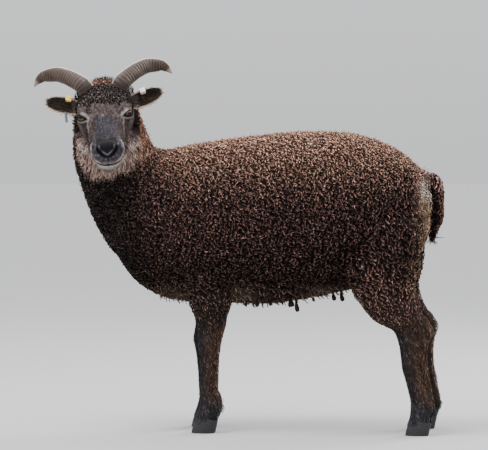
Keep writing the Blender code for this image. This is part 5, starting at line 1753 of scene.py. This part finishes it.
# Ears: short hair on both sides and a pale fringe along the rim
for (side, word), ear in zip(SIDES, list(ears.objects)):
    roots, normals = sample_skin(ear, SPACING["ear"], rng)
    keep = ~inside(roots, head_tree, 0.001)
    roots, normals = roots[keep], normals[keep]
    along, across, cup = (np.array(HEAD.to_3x3() @ v) for v in ear_frame(side))
    local = roots - np.array(HEAD @ mirrored(EAR_ROOT, side))
    share = np.clip(local @ along / EAR_LENGTH, 0, 1)
    sideways = (local @ across) / np.maximum(read_stations(EAR, share)[:, 0], 1e-4)
    rim = np.maximum(ramp(-sideways, 0.86, 1.0) + 0.4 * ramp(sideways, 0.90, 1.0), ramp(share, 0.95, 1.0))
    inner = ramp(normals @ cup, -0.1, 0.2)
    lie = tangent_lie(normals, along + across * (np.sign(sideways) * (0.25 + 0.9 * rim))[:, None])
    base_hair = inner * ramp(share, 0.45, 0.15)
    ear_look = {
        "rings": 3, "length": 0.0044 + 0.0030 * rim + 0.0040 * base_hair,
        "lift": 0.0014 + 0.0006 * rim + 0.003 * base_hair, "width": 0.00046, "curl": 0.0002, "stray": 0.30,
        "rise": 0.5, "droop": 0.2, "root_shade": 0.45, "flat": 0.6, "tone": 0.36,
    }
    coat_piece("ear_fur_" + word, roots, normals, lie, ear_look, ear_colour(roots, inner), hair, "ear_hair")

# One skin over body, legs, head and ears
others = make_collection("skin_parts")
for item in (legs, head):
    bpy.context.scene.collection.objects.unlink(item)
    others.objects.link(item)
for item in list(ears.objects):
    ears.objects.unlink(item)
    others.objects.link(item)
skin = combine(body, others, "UNION")
skin.name = "skin"
points, normals = coordinates(skin.data), vertex_normals(skin.data)
# The skin is painted near black as the shade among the locks and hairs, less so where the hair is soft.
colour = body_colour(points, normals) * (0.05 + 0.40 * soft_share(points))[:, None]
colour = blend(colour, THROAT * 0.4, near_face(points))
colour = blend(colour, leg_colour(points, normals) * 0.40, ramp(points[:, 2], 0.225, 0.190))
high = np.flatnonzero((points[:, 2] > 0.48) & (points[:, 0] < -0.10))
ear_mark = np.zeros(len(points), bool)
head_mark = np.zeros(len(points), bool)
for i in high:
    for mark, trees in ((ear_mark, ear_trees), (head_mark, [head_tree])):
        mark[i] = any(tree.find_nearest(Vector(points[i]), SAME_PLACE)[0] is not None for tree in trees)
colour[head_mark] = face_colour(points[head_mark], nostril)
cup = np.array([np.array(HEAD.to_3x3() @ ear_frame(side)[2]) for side, _ in SIDES]).mean(axis=0)
colour[ear_mark] = ear_colour(points[ear_mark], ramp(normals[ear_mark] @ cup, -0.1, 0.2))
paint(skin.data, colour)
skin.data.shade_smooth()
dress(
    skin, hair, "leg_hair", "torso", "neck", "tail", "head", "ear_left", "ear_right",
    "leg_front_left", "leg_front_right", "leg_hind_left", "leg_hind_right",
)

# Horns, hooves, eyes and tags
for side, word in SIDES:
    dress(build_horn(side, "horn_%s_piece" % word), horn_sheath, "horn", "horn_" + word)
    dress(build_eye(side, "eye_%s_piece" % word), eye_wet, "eye", "eye_" + word)
for leg, (table, side, track, knee_shift, foot_shift) in LEGS.items():
    foot_x = read_stations(table, [FOOT_HEIGHT])[0][0] + lean(FOOT_HEIGHT, knee_shift, foot_shift) - 0.004
    for claw_side, word in ((-1, "outer"), (1, "inner")):
        offset = side * -claw_side * (CLAW_WIDTH / 2 + 0.0005)
        node = "hoof_%s_%s" % (leg, word)
        claw = build_claw(node + "_piece", foot_x, side * track / 2 + offset, 1 if offset > 0 else -1)
        dress(claw, hoof_wall, "hoof", node)
for node, colour in TAG_COLOURS.items():
    tag = bpy.data.objects[node]
    tag.material_slots[0].material = plastic_material(node + "_plastic", colour)

# Floor, light and camera
floor_shape = bmesh.new()
bmesh.ops.create_circle(floor_shape, cap_ends=True, segments=96, radius=FLOOR_RADIUS)
floor = shape_object(floor_shape, "floor")
floor_material, _, floor_shader = make_material("pale_floor")
floor_shader.inputs["Base Color"].default_value = FLOOR_GREY
floor_shader.inputs["Roughness"].default_value = 0.9
floor.data.materials.append(floor_material)

world = bpy.data.worlds.new("studio")
world.use_nodes = True
sky = world.node_tree.nodes["Background"]
sky.inputs["Color"].default_value = SKY_GREY
direction = add_node(world.node_tree, "ShaderNodeTexCoord").outputs["Generated"]
split = add_node(world.node_tree, "ShaderNodeSeparateXYZ")
dome = add_node(world.node_tree, "ShaderNodeMapRange")
dome.inputs["To Min"].default_value = WORLD_LOW
dome.inputs["To Max"].default_value = WORLD_HIGH
world.node_tree.links.new(direction, split.inputs[0])
world.node_tree.links.new(split.outputs["Z"], dome.inputs["Value"])
world.node_tree.links.new(dome.outputs["Result"], sky.inputs["Strength"])
bpy.context.scene.world = world

area_light("key", (-0.9, -0.8, 3.2), 1.6, 112)
area_light("rim", (1.6, 2.0, 2.4), 1.4, 80)

camera_data = bpy.data.cameras.new("camera")
camera_data.sensor_width = 36.0
camera_data.lens = CAMERA_LENS
camera = bpy.data.objects.new("camera", camera_data)
bpy.context.scene.collection.objects.link(camera)
back = Vector((
    math.sin(CAMERA_AZIMUTH) * math.cos(CAMERA_ELEVATION),
    -math.cos(CAMERA_AZIMUTH) * math.cos(CAMERA_ELEVATION),
    math.sin(CAMERA_ELEVATION),
))
camera.location = CAMERA_AIM + back * CAMERA_DISTANCE
camera.rotation_mode = "QUATERNION"
camera.rotation_quaternion = back.to_track_quat("Z", "Y")
bpy.context.scene.camera = camera
